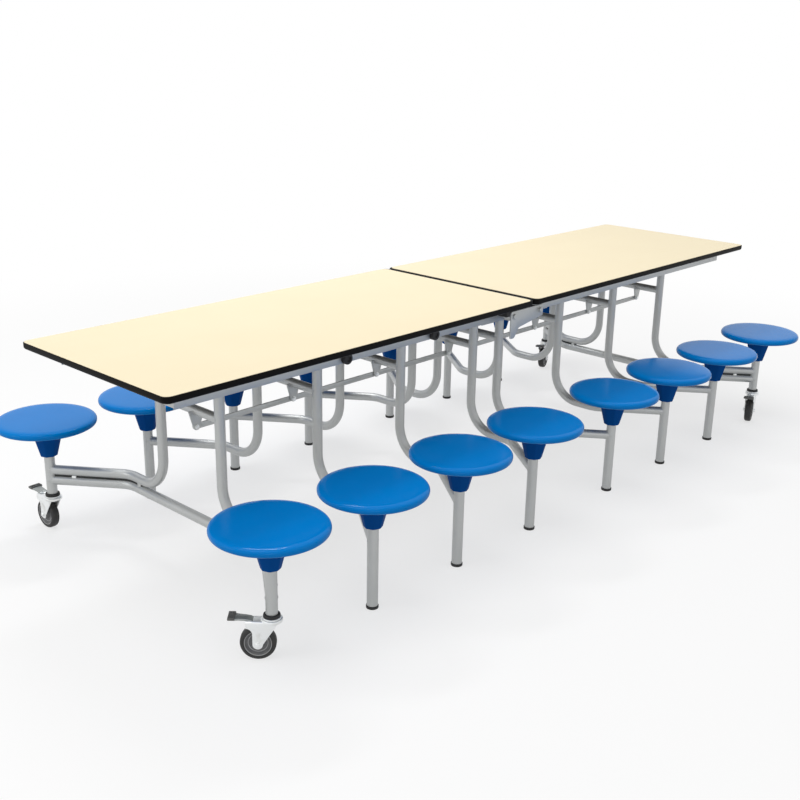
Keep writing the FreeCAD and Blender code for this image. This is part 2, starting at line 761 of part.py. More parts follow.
def fork_shape():
    """Pressed fork: crown on the king pin, cheeks with a tail beside the pedal, axle bolt and pedal pin."""
    crown_top = mm("castor_height - flange_thick - crown_gap")
    crown_low = crown_top - mm("crown_thick")
    axle = (mm("castor_trail"), mm("wheel_d/2"))
    inside = mm("wheel_boss_width/2 + crown_gap")
    thick = mm("fork_plate")
    eye_r = mm("fork_eye_d/2")
    crown_r = mm("crown_d/2")
    across = Vec(0, 1, 0)
    pedal = (mm("pedal_pivot_x"), mm("castor_height - pedal_pivot_drop"))
    deck = crown_low + mm("crown_thick/2")
    tail = mm("fork_tail")
    tail_low = deck - mm("fork_tail_depth")
    leg_back = axle[0] + eye_r
    points = [
        (-mm("fork_front"), deck),
        (tail, deck),
        (tail, tail_low),
        (leg_back, tail_low - (tail - leg_back)),
        (leg_back, axle[1]),
        (axle[0] - eye_r, axle[1]),
    ]
    solids = [Part.makeCylinder(crown_r, mm("crown_thick"), Vec(0, 0, crown_low))]
    head_thick = mm("axle_head_thick")
    for way in SIDES.values():
        y_low = inside if way > 0 else -inside - thick
        solids.append(plate_hull(points, axle, eye_r, y_low, thick))
        y_head = inside + thick if way > 0 else -inside - thick - head_thick
        head = Part.makeCylinder(mm("axle_head_d/2"), head_thick, Vec(axle[0], y_head, axle[1]), across)
        solids.append(head)
    start = -inside - thick
    width = 2 * (inside + thick)
    solids.append(Part.makeCylinder(mm("axle_d/2"), width, Vec(axle[0], start, axle[1]), across))
    solids.append(Part.makeCylinder(mm("pedal_pin_d/2"), width, Vec(pedal[0], start, pedal[1]), across))
    bore = Part.makeCylinder(mm("king_pin_d/2 + run_gap"), mm("castor_height"))
    return solids[0].multiFuse(solids[1:]).cut(bore)


def pedal_shape():
    """Brake pedal: an eye on the fork's pin, a tongue that rises behind the crown and a wide pad at its end."""
    pivot = (mm("pedal_pivot_x"), mm("castor_height - pedal_pivot_drop"))
    eye_r = mm("pedal_eye_d/2")
    thick = mm("pedal_thick")
    half = mm("pedal_width/2")
    top = mm("castor_height - flange_thick + pedal_rise")
    reach = mm("pedal_reach")
    knee = pivot[0] + mm("pedal_knee")
    points = [
        (pivot[0], pivot[1] - eye_r),
        (knee, top - 2 * thick),
        (reach, top - thick),
        (reach, top),
        (knee - thick, top - thick),
        (pivot[0], pivot[1] + eye_r),
    ]
    tongue = plate_hull(points, pivot, eye_r, -half, 2 * half)
    pad_length = mm("pad_length")
    pad_width = mm("pad_width")
    pad_place = Vec(reach - pad_length, -pad_width / 2, top - thick)
    pad = Part.makeBox(pad_length, pad_width, mm("pad_thick"), pad_place)
    bore_start = Vec(pivot[0], -2 * half, pivot[1])
    bore = Part.makeCylinder(mm("pedal_pin_d/2 + run_gap"), 4 * half, bore_start, Vec(0, 1, 0))
    return tongue.fuse(pad).cut(bore)


def wheel(name):
    """Wheel about its own Z: tyre, web and boss in one half section."""
    bore = "axle_d/2 + run_gap"
    middle = "wheel_boss_width/2"
    body = revolved(name, [
        (bore, "0"),
        ("wheel_boss_d/2", "0"),
        ("wheel_boss_d/2", f"{middle} - wheel_web/2"),
        ("rim_inner_d/2", f"{middle} - wheel_web/2"),
        ("rim_inner_d/2", f"{middle} - wheel_width/2"),
        ("wheel_d/2", f"{middle} - wheel_width/2"),
        ("wheel_d/2", f"{middle} + wheel_width/2"),
        ("rim_inner_d/2", f"{middle} + wheel_width/2"),
        ("rim_inner_d/2", f"{middle} + wheel_web/2"),
        ("wheel_boss_d/2", f"{middle} + wheel_web/2"),
        ("wheel_boss_d/2", "wheel_boss_width"),
        (bore, "wheel_boss_width"),
    ])
    for side, way in SIDES.items():
        height = mm(f"{middle} + {way}*wheel_width/2")
        round_edges(body, f"{name}_{side}", lambda edge: is_circle(edge, mm("wheel_d/2"), height), "wheel_round")
    return body


def castor(leaf, side):
    """Fork, wheel and pedal of one castor, turned to the way it trails."""
    spot = f"{leaf}1_{side}"
    turn = FreeCAD.Rotation(Vec(0, 0, 1), CASTOR_TURN[spot])
    post = Vec(mm(seat_x(leaf, 1)), SIDES[side] * mm("seat_reach"), 0)
    place = FreeCAD.Placement(post, turn)
    keep(solid("castor_fork_" + spot, fork_shape(), place), "castor_fork_" + spot)
    keep(solid("brake_pedal_" + spot, pedal_shape(), place), "brake_pedal_" + spot)
    body = wheel("castor_wheel_" + spot)
    lie_down = FreeCAD.Rotation(Vec(1, 0, 0), -90)
    axle = Vec(mm("castor_trail"), -mm("wheel_boss_width/2"), mm("wheel_d/2"))
    body.Placement = place.multiply(FreeCAD.Placement(axle, lie_down))
    keep(body, "castor_wheel_" + spot)


frame_shapes = {True: frame_shape(True), False: frame_shape(False)}

for leaf in LEAVES:
    table_top(leaf)
    subframe(leaf)
    pivot_pins(leaf)
    hinge_plates(leaf)
    rubber(leaf)
    seat_frames(leaf)
    link_bar(leaf)
    for side in SIDES:
        castor(leaf, side)
        for number in range(1, FRAMES_PER_LEAF + 1):
            seat(leaf, number, side)
yoke()
doc.recompute()

for item in doc.Objects:
    if "Invalid" in item.State or "Error" in item.State:
        raise RuntimeError(f"{item.Label} did not build: {item.State}")
for item in nodes:
    if item.Shape.isNull() or not item.Shape.isValid():
        raise RuntimeError(f"{item.Label} has no valid shape")

os.makedirs("parts", exist_ok=True)
for item in nodes:
    item.Shape.exportStep(f"parts/{item.Label}.step")
    print(item.Label, len(item.Shape.Solids), "solids", round(item.Shape.Volume / 1000, 1), "cm3")
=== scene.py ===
# %% [markdown]
# # A folding dining table with sixteen swivel seats
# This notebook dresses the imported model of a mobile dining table, the kind that is wheeled into a
# school hall. Two cream leaves meet in the middle, eight tube frames carry the leaves and the round
# blue seats, and braked castors stand under the outer seats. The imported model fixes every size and
# joint. Each step below models one piece as a maker sees it and lets it stand for the plain solid.

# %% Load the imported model
import json
import math

import bmesh
import bpy
from mathutils import Matrix, Vector

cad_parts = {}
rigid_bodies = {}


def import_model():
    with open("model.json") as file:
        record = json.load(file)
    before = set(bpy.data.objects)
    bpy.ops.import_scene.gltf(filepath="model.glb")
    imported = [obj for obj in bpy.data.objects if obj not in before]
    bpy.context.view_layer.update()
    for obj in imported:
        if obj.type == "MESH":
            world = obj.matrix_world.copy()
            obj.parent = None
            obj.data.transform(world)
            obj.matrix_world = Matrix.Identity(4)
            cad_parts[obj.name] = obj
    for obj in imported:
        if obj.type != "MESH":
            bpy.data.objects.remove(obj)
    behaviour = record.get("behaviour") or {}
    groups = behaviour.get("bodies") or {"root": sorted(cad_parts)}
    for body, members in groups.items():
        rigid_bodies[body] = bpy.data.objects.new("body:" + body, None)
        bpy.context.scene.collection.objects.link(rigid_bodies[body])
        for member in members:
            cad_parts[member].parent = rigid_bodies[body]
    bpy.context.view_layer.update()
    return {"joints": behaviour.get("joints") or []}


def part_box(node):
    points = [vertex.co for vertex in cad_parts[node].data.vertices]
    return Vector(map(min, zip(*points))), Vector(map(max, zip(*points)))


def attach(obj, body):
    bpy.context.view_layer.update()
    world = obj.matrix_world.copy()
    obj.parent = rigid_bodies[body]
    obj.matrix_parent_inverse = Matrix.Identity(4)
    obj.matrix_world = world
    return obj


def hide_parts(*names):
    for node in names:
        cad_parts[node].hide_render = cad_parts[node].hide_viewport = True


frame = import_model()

for item in bpy.context.scene.objects:
    item.select_set(False)
joint_at = {joint["name"]: Vector(joint["pos_m"]) for joint in frame["joints"]}
LEAVES = {"a": -1, "b": 1}
SIDES = ("near", "far")
FRAMES = (1, 2, 3, 4)

# %% [markdown]
# ## The camera
# The picture is square and was taken from about head height, off one corner of the table. A camera can
# be aimed by hand, but here its place and its two main directions were solved from the corners of the
# top, so they are written down. The focal length in pixels becomes millimetres once it is measured on
# the sensor's width.

# %% Set the camera
IMAGE_SIDE = 800
FOCAL_PIXELS = 1090.3
view_from = Vector((-3.0584, -2.5747, 1.6254))
view_right = Vector((0.6864, -0.7270, 0.0168))
view_ahead = Vector((0.6922, 0.6461, -0.3214))
view_up = view_right.cross(view_ahead)
camera = bpy.data.objects.new("camera", bpy.data.cameras.new("camera"))
bpy.context.collection.objects.link(camera)
camera.data.lens = FOCAL_PIXELS / IMAGE_SIDE * camera.data.sensor_width
camera.location = view_from
camera.rotation_euler = Matrix((view_right, view_up, -view_ahead)).transposed().to_euler()
bpy.context.scene.camera = camera
bpy.context.scene.view_settings.view_transform = "Standard"
print("lens", round(camera.data.lens, 2), "mm")

# %% [markdown]
# ## Shader maths
# A finish is a small sum: this much grain, that much wear. Node trees can be wired by hand, but sums
# read better as sums, so one class wraps a socket and turns + and * into Math nodes. Every other node
# comes from its node method.

# %% Wires that can be added and multiplied
def plug(entry, value):
    """Fill an input socket with a wire or a plain value."""
    if isinstance(value, Wire):
        entry.id_data.links.new(value.socket, entry)
    else:
        entry.default_value = value


class Wire:
    """An output socket of a node tree, with arithmetic."""

    def __init__(self, socket):
        self.socket = socket

    def node(self, kind, settings=None, inputs=None, output=0):
        """Add a node, set it up, fill its inputs and return one of its outputs."""
        made = self.socket.id_data.nodes.new(kind)
        for name, value in (settings or {}).items():
            setattr(made, name, value)
        for key, value in (inputs or {}).items():
            plug(made.inputs[key], value)
        return Wire(made.outputs[output])

    def maths(self, operation, first, second):
        return self.node("ShaderNodeMath", {"operation": operation}, {0: first, 1: second})

    def __add__(self, other):
        return self.maths("ADD", self, other)

    def __radd__(self, other):
        return self.maths("ADD", other, self)

    def __mul__(self, other):
        return self.maths("MULTIPLY", self, other)

    def __rmul__(self, other):
        return self.maths("MULTIPLY", other, self)


print("wires ready")

# %% [markdown]
# ## Helpers for every finish
# Most finishes here are one colour that drifts a little, a gloss that drifts with it, and a fine grain
# that only a grazing light shows. Colours are written as the eye reads them on a screen, and turned to
# light values here.

# %% Noise, blends, ramps and bumps
def seen(red, green, blue):
    """Screen colour from 0 to 255 as linear light."""
    def linear(level):
        share = level / 255
        return share / 12.92 if share <= 0.04045 else ((share + 0.055) / 1.055) ** 2.4
    return linear(red), linear(green), linear(blue), 1


def start_finish(name):
    """New material with its shader and the wire of its Object coordinates."""
    material = bpy.data.materials.new(name)
    material.use_nodes = True
    nodes = material.node_tree.nodes
    place = Wire(nodes.new("ShaderNodeTexCoord").outputs["Object"])
    return material, nodes["Principled BSDF"], place


def stretched(place, scale):
    """Coordinates scaled by their axes, so that a pattern runs along one of them."""
    return place.node("ShaderNodeMapping", None, {"Vector": place, "Scale": scale})


def cloud(place, scale, detail=2):
    """Soft noise from 0 to 1, with its blotches about 1 / scale metres across."""
    return place.node("ShaderNodeTexNoise", None, {"Vector": place, "Scale": scale, "Detail": detail})


def blend(mask, first, second):
    """Colour that goes from first to second as the mask goes from 0 to 1."""
    return mask.node("ShaderNodeMix", {"data_type": "RGBA"}, {0: mask, 6: first, 7: second}, 2)


def ramp(mask, low, high):
    """Mask that rises smoothly from 0 at low to 1 at high."""
    return mask.node("ShaderNodeMapRange", {"interpolation_type": "SMOOTHSTEP"}, {0: mask, 1: low, 2: high})


def raised(height, depth, strength=1.0):
    """Normal of a surface with this height, depth metres from its lowest to its highest point."""
    return height.node("ShaderNodeBump", None, {"Height": height, "Distance": depth, "Strength": strength})


def set_shader(shader, values):
    for name, value in values.items():
        plug(shader.inputs[name], value)


def sees_ground(tree):
    """1 for a ray from the camera, a mirror or glass, and 0 for a ray that only carries light."""
    rays = tree.nodes.new("ShaderNodeLightPath").outputs
    eye, mirror, glass = (Wire(rays[f"Is {kind} Ray"]) for kind in ("Camera", "Glossy", "Transmission"))
    either = eye.maths("MAXIMUM", eye, mirror)
    return either.maths("MAXIMUM", either, glass)


print("helpers ready")

# %% [markdown]
# ## Laminate of the top
# The leaves are faced with cream high-pressure laminate. It is pressed against a textured plate, so it
# has a very fine pebble, and plates and trays have left a few faint dull streaks. A plain colour would
# look like paper, so the colour drifts by a shade over a hand's width and the gloss drifts more. The
# underside has a plain brown backing sheet, which the height in the material picks out.

# %% Laminate finish
TOP_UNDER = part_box("top_board_a")[0].z
BACKING = 0.001


def laminate_finish():
    material, shader, place = start_finish("laminate_cream")
    drift = cloud(place, 4, 3)
    pebble = cloud(place, 1100, 2)
    rubbed = ramp(cloud(stretched(place, (3, 40, 1)), 2.2, 4), 0.58, 0.74)
    height = place.node("ShaderNodeSeparateXYZ", None, {"Vector": place}, "Z")
    face = ramp(height, TOP_UNDER, TOP_UNDER + BACKING)
    cream = blend(drift, seen(250, 235, 199), seen(253, 240, 207))
    set_shader(shader, {
        "Base Color": blend(face, seen(82, 70, 58), cream),
        "Roughness": 0.36 + 0.10 * drift + 0.10 * rubbed,
        "Specular IOR Level": 0.1,
        "Normal": raised(pebble, 0.00006, 0.5),
    })
    return material


laminate = laminate_finish()
print("made", laminate.name)

# %% [markdown]
# ## Black edge
# The edge is a cast band, nearly black with a warm cast, with a fine matt grain. Its arris is where
# trolleys and chairs touch it, so small grey scuffs lie along it.

# %% Edge finish
def edge_finish():
    material, shader, place = start_finish("edge_black")
    grain = cloud(place, 700, 3)
    scuff = ramp(cloud(stretched(place, (14, 60, 200)), 1.0, 5), 0.66, 0.78)
    set_shader(shader, {
        "Base Color": blend(scuff, seen(9, 8, 7), seen(28, 26, 23)),
        "Roughness": 0.44 + 0.12 * grain + 0.15 * scuff,
        "Specular IOR Level": 0.08,
        "Normal": raised(grain, 0.00008, 0.6),
    })
    return material


edge_black = edge_finish()
print("made", edge_black.name)

# %% [markdown]
# ## Silver paint
# All the welded steel wears one silver powder coat. The powder holds metal flakes, so it is part
# metallic, and it melts to a slight orange peel. The flakes are far smaller than a pixel, so they only
# break the gloss up a little.

# %% Paint finish
def paint_finish():
    material, shader, place = start_finish("paint_silver")
    flake = cloud(place, 1600, 1)
    peel = cloud(place, 420, 2)
    drift = cloud(place, 7, 3)
    set_shader(shader, {
        "Base Color": blend(0.6 * drift + 0.4 * flake, seen(180, 182, 181), seen(206, 208, 207)),
        "Metallic": 0.5,
        "Roughness": 0.32 + 0.08 * drift + 0.08 * flake,
        "Normal": raised(peel, 0.00006, 0.6),
    })
    return material


silver = paint_finish()
print("made", silver.name)

# %% [markdown]
# ## Zinc plate
# Bolts, forks and pedals are zinc plated. The plate is thin and milky, so it is only part metallic. Its
# gloss drifts in soft clouds where the bath left it thicker, and it dulls and yellows slightly where
# mops reach it. The pedals are given a darker zinc.

# %% Zinc finish
def zinc_finish(name, bright, faded):
    material, shader, place = start_finish(name)
    bloom = cloud(place, 90, 4)
    dull = ramp(cloud(place, 28, 4), 0.5, 0.72)
    drawn = cloud(stretched(place, (900, 60, 60)), 1.0, 2)
    set_shader(shader, {
        "Base Color": blend(dull, bright, faded),
        "Metallic": 0.6,
        "Roughness": 0.26 + 0.10 * bloom + 0.14 * dull,
        "Normal": raised(drawn, 0.00003, 0.4),
    })
    return material


zinc = zinc_finish("zinc_bright", seen(247, 249, 249), seen(226, 227, 224))
pedal_zinc = zinc_finish("zinc_dark", seen(158, 162, 161), seen(134, 137, 135))
print("made", zinc.name, pedal_zinc.name)

# %% [markdown]
# ## Blue seat plastic
# The seats are injection moulded, blue right through. The mould is etched, so the top has a fine
# leathery grain that hides scratches, and its gloss drifts a little. The hub below is the same plastic,
# but its colour is made a darker navy, which paints in the shade it lies in under the disc, and it is
# duller, so one function makes both.

# %% Seat finishes
def seat_finish(name, shade, lighter, gloss, roughness):
    material, shader, place = start_finish(name)
    drift = cloud(place, 9, 3)
    etched = place.node("ShaderNodeTexVoronoi", {"feature": "F1"}, {"Vector": place, "Scale": 850})
    scratch = ramp(cloud(stretched(place, (120, 9, 9)), 1.0, 5), 0.64, 0.75)
    set_shader(shader, {
        "Base Color": blend(drift, shade, lighter),
        "Roughness": roughness + 0.05 * drift + 0.08 * scratch,
        "Specular IOR Level": gloss,
        "Normal": raised(etched, 0.00006, 0.3),
    })
    return material


seat_blue = seat_finish("seat_blue", seen(0, 123, 206), seen(0, 130, 214), gloss=0.07, roughness=0.09)
# The hub's darker navy is painted shade, the shade under the disc put into its colour.
hub_navy = seat_finish("hub_navy", seen(10, 76, 148), seen(14, 84, 160), gloss=0.01, roughness=0.45)
print("made", seat_blue.name, hub_navy.name)

# %% [markdown]
# ## Rubber and wheel plastic
# Feet, bumpers and tyres are rubber, and the wheel centres are grey plastic. They share one recipe: a
# base shade, a dusty shade that lies in blotches, and a grain. Only the shades, the grain size and the
# roughness differ, so one function does all.

# %% Rubber and plastic finishes
def dusty_finish(name, base, dust, grain_scale, roughness):
    material, shader, place = start_finish(name)
    grain = cloud(place, grain_scale, 3)
    dusted = ramp(cloud(place, 45, 4), 0.45, 0.75)
    set_shader(shader, {
        "Base Color": blend(dusted, base, dust),
        "Roughness": roughness + 0.15 * dusted + 0.08 * grain,
        "Normal": raised(grain, 0.0001, 0.6),
    })
    return material


rubber = dusty_finish("rubber_black", seen(24, 24, 25), seen(44, 44, 44),
                      grain_scale=900, roughness=0.55)
tyre_rubber = dusty_finish("castor_rubber", seen(40, 40, 40), seen(58, 57, 56),
                           grain_scale=800, roughness=0.55)
wheel_grey = dusty_finish("wheel_grey", seen(106, 107, 109), seen(124, 123, 122),
                          grain_scale=1200, roughness=0.42)
# The pale grey of the wheel's rings is a painted highlight on the lips of its rim and web.
guard_grey = dusty_finish("guard_grey", seen(186, 187, 188), seen(172, 171, 169),
                          grain_scale=1200, roughness=0.35)
pad_grey = dusty_finish("pad_grey", seen(92, 92, 90), seen(112, 111, 108),
                        grain_scale=1000, roughness=0.45)
print("made", rubber.name, tyre_rubber.name, wheel_grey.name, guard_grey.name, pad_grey.name)

# %% [markdown]
# ## Studio
# The picture has a white ground with a soft shadow. A soft sun stands nearly overhead, softboxes by the
# camera and on the left give the tubes their long highlights, a narrow one behind gives the seats a
# crescent of light, and the world fills the shadows. Together they light a level face about as bright
# as its colour is written. The camera sees a white world, and so does metal.

# %% Light the studio
FILL_LIGHT = 0.52
SUN_LIGHT = 0.86
SUN_PLACE = (-2, -3, 4)
SUN_AIM = Vector((0.27, -0.06, -1))
SUN_SPREAD = math.radians(45)
world = bpy.data.worlds.new("studio")
world.use_nodes = True
bpy.context.scene.world = world
background = world.node_tree.nodes["Background"]
plug(background.inputs["Color"], (1, 1, 1, 1))
plug(background.inputs["Strength"], FILL_LIGHT + (1 - FILL_LIGHT) * sees_ground(world.node_tree))
bpy.ops.object.light_add(type="SUN", location=SUN_PLACE)
sun = bpy.context.object
sun.rotation_euler = SUN_AIM.to_track_quat("-Z", "Y").to_euler()
sun.data.energy = SUN_LIGHT
sun.data.angle = SUN_SPREAD


def softbox(name, location, target, width, height, power):
    """Flat lamp with soft edges, aimed at a point."""
    bpy.ops.object.light_add(type="AREA", location=location)
    lamp = bpy.context.object
    lamp.name = name
    lamp.rotation_euler = (Vector(target) - Vector(location)).to_track_quat("-Z", "Y").to_euler()
    lamp.data.shape = "RECTANGLE"
    lamp.data.size = width
    lamp.data.size_y = height
    lamp.data.energy = power


softbox("softbox_left", (-4.4, 1.3, 2.0), (-0.6, -0.2, 0.4), width=1.4, height=1.4, power=20)
softbox("softbox_front", (-4.6, -4.4, 1.9), (-0.4, -0.3, 0.3), width=1.6, height=1.6, power=16)
softbox("softbox_back", (-0.1, 1.5, 3.3), (-0.9, -0.6, 0.4), width=1.3, height=0.35, power=26)
print("sun", sun.data.energy, "fill", FILL_LIGHT)

# %% [markdown]
# ## Modelling helpers
# Every piece starts from a primitive at its size and place and is shaped in edit mode, as by hand. An
# operator acts on whatever is selected, so a piece is begun with nothing else selected, and faces and
# edges are picked by a test.

# %% Begin, pick, shape and settle
# Points closer than SNAP are one, and a face looks along an axis if their cosine is over FACING.
SNAP = 1e-6
FACING = 0.999


def begin(add, scale=(1, 1, 1), **how):
    """Add a primitive on its own, bake its size and place, and go into edit mode."""
    bpy.ops.object.select_all(action="DESELECT")
    add(**how)
    piece = bpy.context.object
    piece.scale = scale
    bpy.ops.object.transform_apply(location=True, rotation=True, scale=True)
    bpy.ops.object.mode_set(mode="EDIT")
    return piece


def middle(part):
    """Middle of an edge or face."""
    return sum((vert.co for vert in part.verts), Vector()) / len(part.verts)


def lies_at(edge, axis, place):
    """True for an edge with both its ends at a place along an axis, 0 for x to 2 for z."""
    return all(abs(vert.co[axis] - place) < SNAP for vert in edge.verts)


def pick(kind, test):
    """Select only the verts, edges or faces that pass the test."""
    mesh = bpy.context.object.data
    bpy.ops.mesh.select_mode(type=kind[:-1].upper())
    bpy.ops.mesh.select_all(action="DESELECT")
    shape = bmesh.from_edit_mesh(mesh)
    for part in getattr(shape, kind):
        if test(part):
            part.select_set(True)
    shape.select_flush_mode()
    bmesh.update_edit_mesh(mesh)


def pick_all():
    """Select everything, by its verts, so that a bare outline is selected too."""
    bpy.ops.mesh.select_mode(type="VERT")
    bpy.ops.mesh.select_all(action="SELECT")


def push(*offset):
    """Extrude what is selected by an offset."""
    bpy.ops.mesh.extrude_region_move(TRANSFORM_OT_translate={"value": offset})


def settle(piece, angle=35):
    """Merge doubles, turn the faces outwards, leave edit mode and smooth all but the sharp edges."""
    pick_all()
    bpy.ops.mesh.remove_doubles(threshold=SNAP)
    bpy.ops.mesh.normals_make_consistent(inside=False)
    bpy.ops.object.mode_set(mode="OBJECT")
    bpy.ops.object.shade_smooth_by_angle(angle=math.radians(angle))
    return piece


def modify(piece, kind, **settings):
    """Add a modifier to a piece in object mode and apply it."""
    modifier = piece.modifiers.new(kind.lower(), kind)
    for name, value in settings.items():
        setattr(modifier, name, value)
    bpy.context.view_layer.objects.active = piece
    bpy.ops.object.modifier_apply(modifier=modifier.name)


def joined(pieces):
    """Several pieces as one object."""
    bpy.ops.object.select_all(action="DESELECT")
    for piece in pieces:
        piece.select_set(True)
    bpy.context.view_layer.objects.active = pieces[0]
    bpy.ops.object.join()
    return pieces[0]


def twin(master, move):
    """Copy of a piece with its own mesh, moved in the mesh."""
    copy = master.copy()
    copy.data = master.data.copy()
    copy.data.transform(move)
    if move.determinant() < 0:
        copy.data.flip_normals()
    bpy.context.collection.objects.link(copy)
    return copy


def dress(piece, name, finish, slot, body, *nodes):
    """Name a finished piece, give it its finish and its body, and let it stand for its solids."""
    piece.name = name
    piece.data.name = name
    piece.data.materials.clear()
    piece.data.materials.append(finish)
    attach(piece, body)
    if nodes:
        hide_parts(*nodes)
    return piece


MIRROR_X = Matrix.Scale(-1, 4, (1, 0, 0))
MIRROR_Y = Matrix.Scale(-1, 4, (0, 1, 0))
print("modelling helpers ready")

# %% [markdown]
# ## Floor
# The floor is only a stage for the shadow, with a faint drift in its tone like a painted studio floor.
# It is so wide that its far edge fades into the white world. The camera and metal see it near white,
# and whiter away from the table, which keeps the shadow soft. To the light it is a pale grey, so that
# it throws no more than a real floor up under the top.

# %% Lay the floor
FLOOR_LIFT = 0.66
FADE_START, FADE_END = 1.8, 4.2
FLOOR_WIDTH = 400


def floor_finish():
    material, shader, place = start_finish("floor_pale")
    shown = sees_ground(material.node_tree)
    tone = cloud(place, 0.6, 2)
    away = place.node("ShaderNodeVectorMath", {"operation": "LENGTH"}, {0: place}, "Value")
    far = ramp(away, FADE_START, FADE_END)
    pale = blend(tone, seen(250, 250, 250), seen(253, 253, 253))
    set_shader(shader, {
        "Base Color": blend(shown, seen(196, 196, 196), pale),
        "Roughness": 0.9,
        "Specular IOR Level": 0.0,
    })
    white = place.node("ShaderNodeEmission", None, {"Color": (1, 1, 1, 1)}, "Emission")
    lift = shown * (FLOOR_LIFT + (1 - FLOOR_LIFT) * far)
    surface = lift.node("ShaderNodeMixShader", None, {0: lift, 1: Wire(shader.outputs[0]), 2: white})
    plug(material.node_tree.nodes["Material Output"].inputs["Surface"], surface)
    return material


floor = begin(bpy.ops.mesh.primitive_plane_add, size=FLOOR_WIDTH)
settle(floor)
floor.name = "studio_floor"
floor.data.materials.append(floor_finish())
print("floor", floor.dimensions.x, "m wide")

# %% [markdown]
# ## Table top
# Each leaf is a 22 mm board with a sheet of laminate glued on top, which reaches nearly to the arris
# and stops short at the seam. Both could be cut from cubes, but their round corners are easier on a
# flat outline: a plane whose corners are bevelled, then extruded to its thickness. Leaf a is leaf b
# mirrored.

# %% Cut the boards
CORNER = 0.024
LAMINATE = 0.0008
EDGE_BAND = 0.003
SEAM_BAND = 0.0115
BAND_WIDTH = 0.012
GLUE_GAP = 0.0001
band_low, band_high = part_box("edge_band_b")
BOARD_THICK = band_high.z - band_low.z
LEAF_MIDDLE = (band_low.x + band_high.x) / 2


def leaf_sheet(inset, drop):
    """Flat outline of leaf b, brought in by an inset and lowered from the top by a drop."""
    size = (band_high.x - band_low.x - 2 * inset, band_high.y - band_low.y - 2 * inset, 1)
    sheet = begin(bpy.ops.mesh.primitive_plane_add, size, size=1,
                  location=(LEAF_MIDDLE, 0, band_high.z - drop))
    pick_all()
    bpy.ops.mesh.bevel(offset=CORNER - inset, segments=8, affect="VERTICES")
    return sheet


def leaf_pair(master, stem, finish, slot):
    """A piece modelled on leaf b, and its mirror on leaf a."""
    for leaf, sign in LEAVES.items():
        move = Matrix.Identity(4) if sign > 0 else MIRROR_X
        dress(twin(master, move), stem + leaf, finish, slot, "leaf_" + leaf, stem + leaf)
    bpy.data.objects.remove(master)


facing = leaf_sheet(EDGE_BAND, 0)
pick("verts", lambda vert: vert.co.x < LEAF_MIDDLE)
bpy.ops.transform.translate(value=(SEAM_BAND - EDGE_BAND, 0, 0))
pick_all()
push(0, 0, -LAMINATE)
settle(facing)
core = leaf_sheet(BAND_WIDTH + GLUE_GAP, LAMINATE / 2)
pick_all()
push(0, 0, LAMINATE / 2 - BOARD_THICK)
leaf_pair(joined([facing, settle(core)]), "top_board_", laminate, "laminate_cream")
print("boards", round(BOARD_THICK, 4), "m thick")

# %% [markdown]
# ## Black edge band
# The band is cast round the board under the laminate. Its upper arris is broken and its lower one is a
# wide bullnose, which makes it look thinner than it is. It is the same outline, inset by the band's
# width, with the middle taken out. Extruding what is left gives a ring, and bevels round it outside.

# %% Cast the bands
EDGE_ROUND = 0.002
BULLNOSE = 0.009


def is_outer_wall(face):
    """True for an upright face that looks away from the middle of its leaf."""
    out = middle(face) - Vector((LEAF_MIDDLE, 0, 0))
    return abs(face.normal.z) < 0.5 and face.normal.x * out.x + face.normal.y * out.y > 0


band = leaf_sheet(0, LAMINATE)
pick_all()
bpy.ops.mesh.inset(thickness=BAND_WIDTH)
bpy.ops.mesh.delete(type="FACE")
pick_all()
push(0, 0, LAMINATE - BOARD_THICK)
pick_all()
bpy.ops.mesh.normals_make_consistent(inside=False)
for height, size, steps in ((band_high.z - LAMINATE, EDGE_ROUND, 4), (band_low.z, BULLNOSE, 8)):
    pick("edges", lambda edge: lies_at(edge, 2, height)
         and any(is_outer_wall(face) for face in edge.link_faces)
         and any(abs(face.normal.z) > 0.5 for face in edge.link_faces))
    bpy.ops.mesh.bevel(offset=size, segments=steps)
leaf_pair(settle(band), "edge_band_", edge_black, "edge_black")
print("bands", BAND_WIDTH, "m wide")

# %% [markdown]
# ## Steel under the leaves
# Angle iron runs round the underside, and two channels carry the leg pivots. On the press brake each is
# a flat strip folded down along an edge, so that is how it is made here: a plane, its edges extruded
# down, the folds rounded, and the sheet thickened inwards.

# %% Fold the angle irons and channels
SHEET = 0.003
SHEET_BREAK = 0.0005
FOLD_ANGLE = math.radians(50)
steel_low, steel_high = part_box("subframe_b")
bumper_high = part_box("bumpers_a")[1]
FLANGE = 0.025 + SHEET
INNER_BAR_DROP = 0.020
APRON_HEM = 0.004
RAIL_DROP = 0.042
BUFFER_LENGTH = 0.018
APRON_START = BUFFER_LENGTH - bumper_high.x
RAIL_HALF = 0.020
LEG_Y = 0.150
steel_drop = steel_high.z - steel_low.z


def deck_up(sheet):
    """Turn all the faces of an open sheet to one side, with its deck looking up."""
    pick_all()
    bpy.ops.mesh.normals_make_consistent(inside=False)
    pick("faces", lambda face: face.normal.z < -0.5)
    if sheet.data.total_face_sel:
        pick_all()
        bpy.ops.mesh.flip_normals()


def thickened(sheet, wall, edge_break):
    """Give a folded sheet its wall, inwards, then break its edges and settle it."""
    bpy.ops.object.mode_set(mode="OBJECT")
    modify(sheet, "SOLIDIFY", thickness=wall, offset=-1)
    modify(sheet, "BEVEL", width=edge_break, segments=2, limit_method="ANGLE", angle_limit=FOLD_ANGLE)
    bpy.ops.object.mode_set(mode="EDIT")
    return settle(sheet)


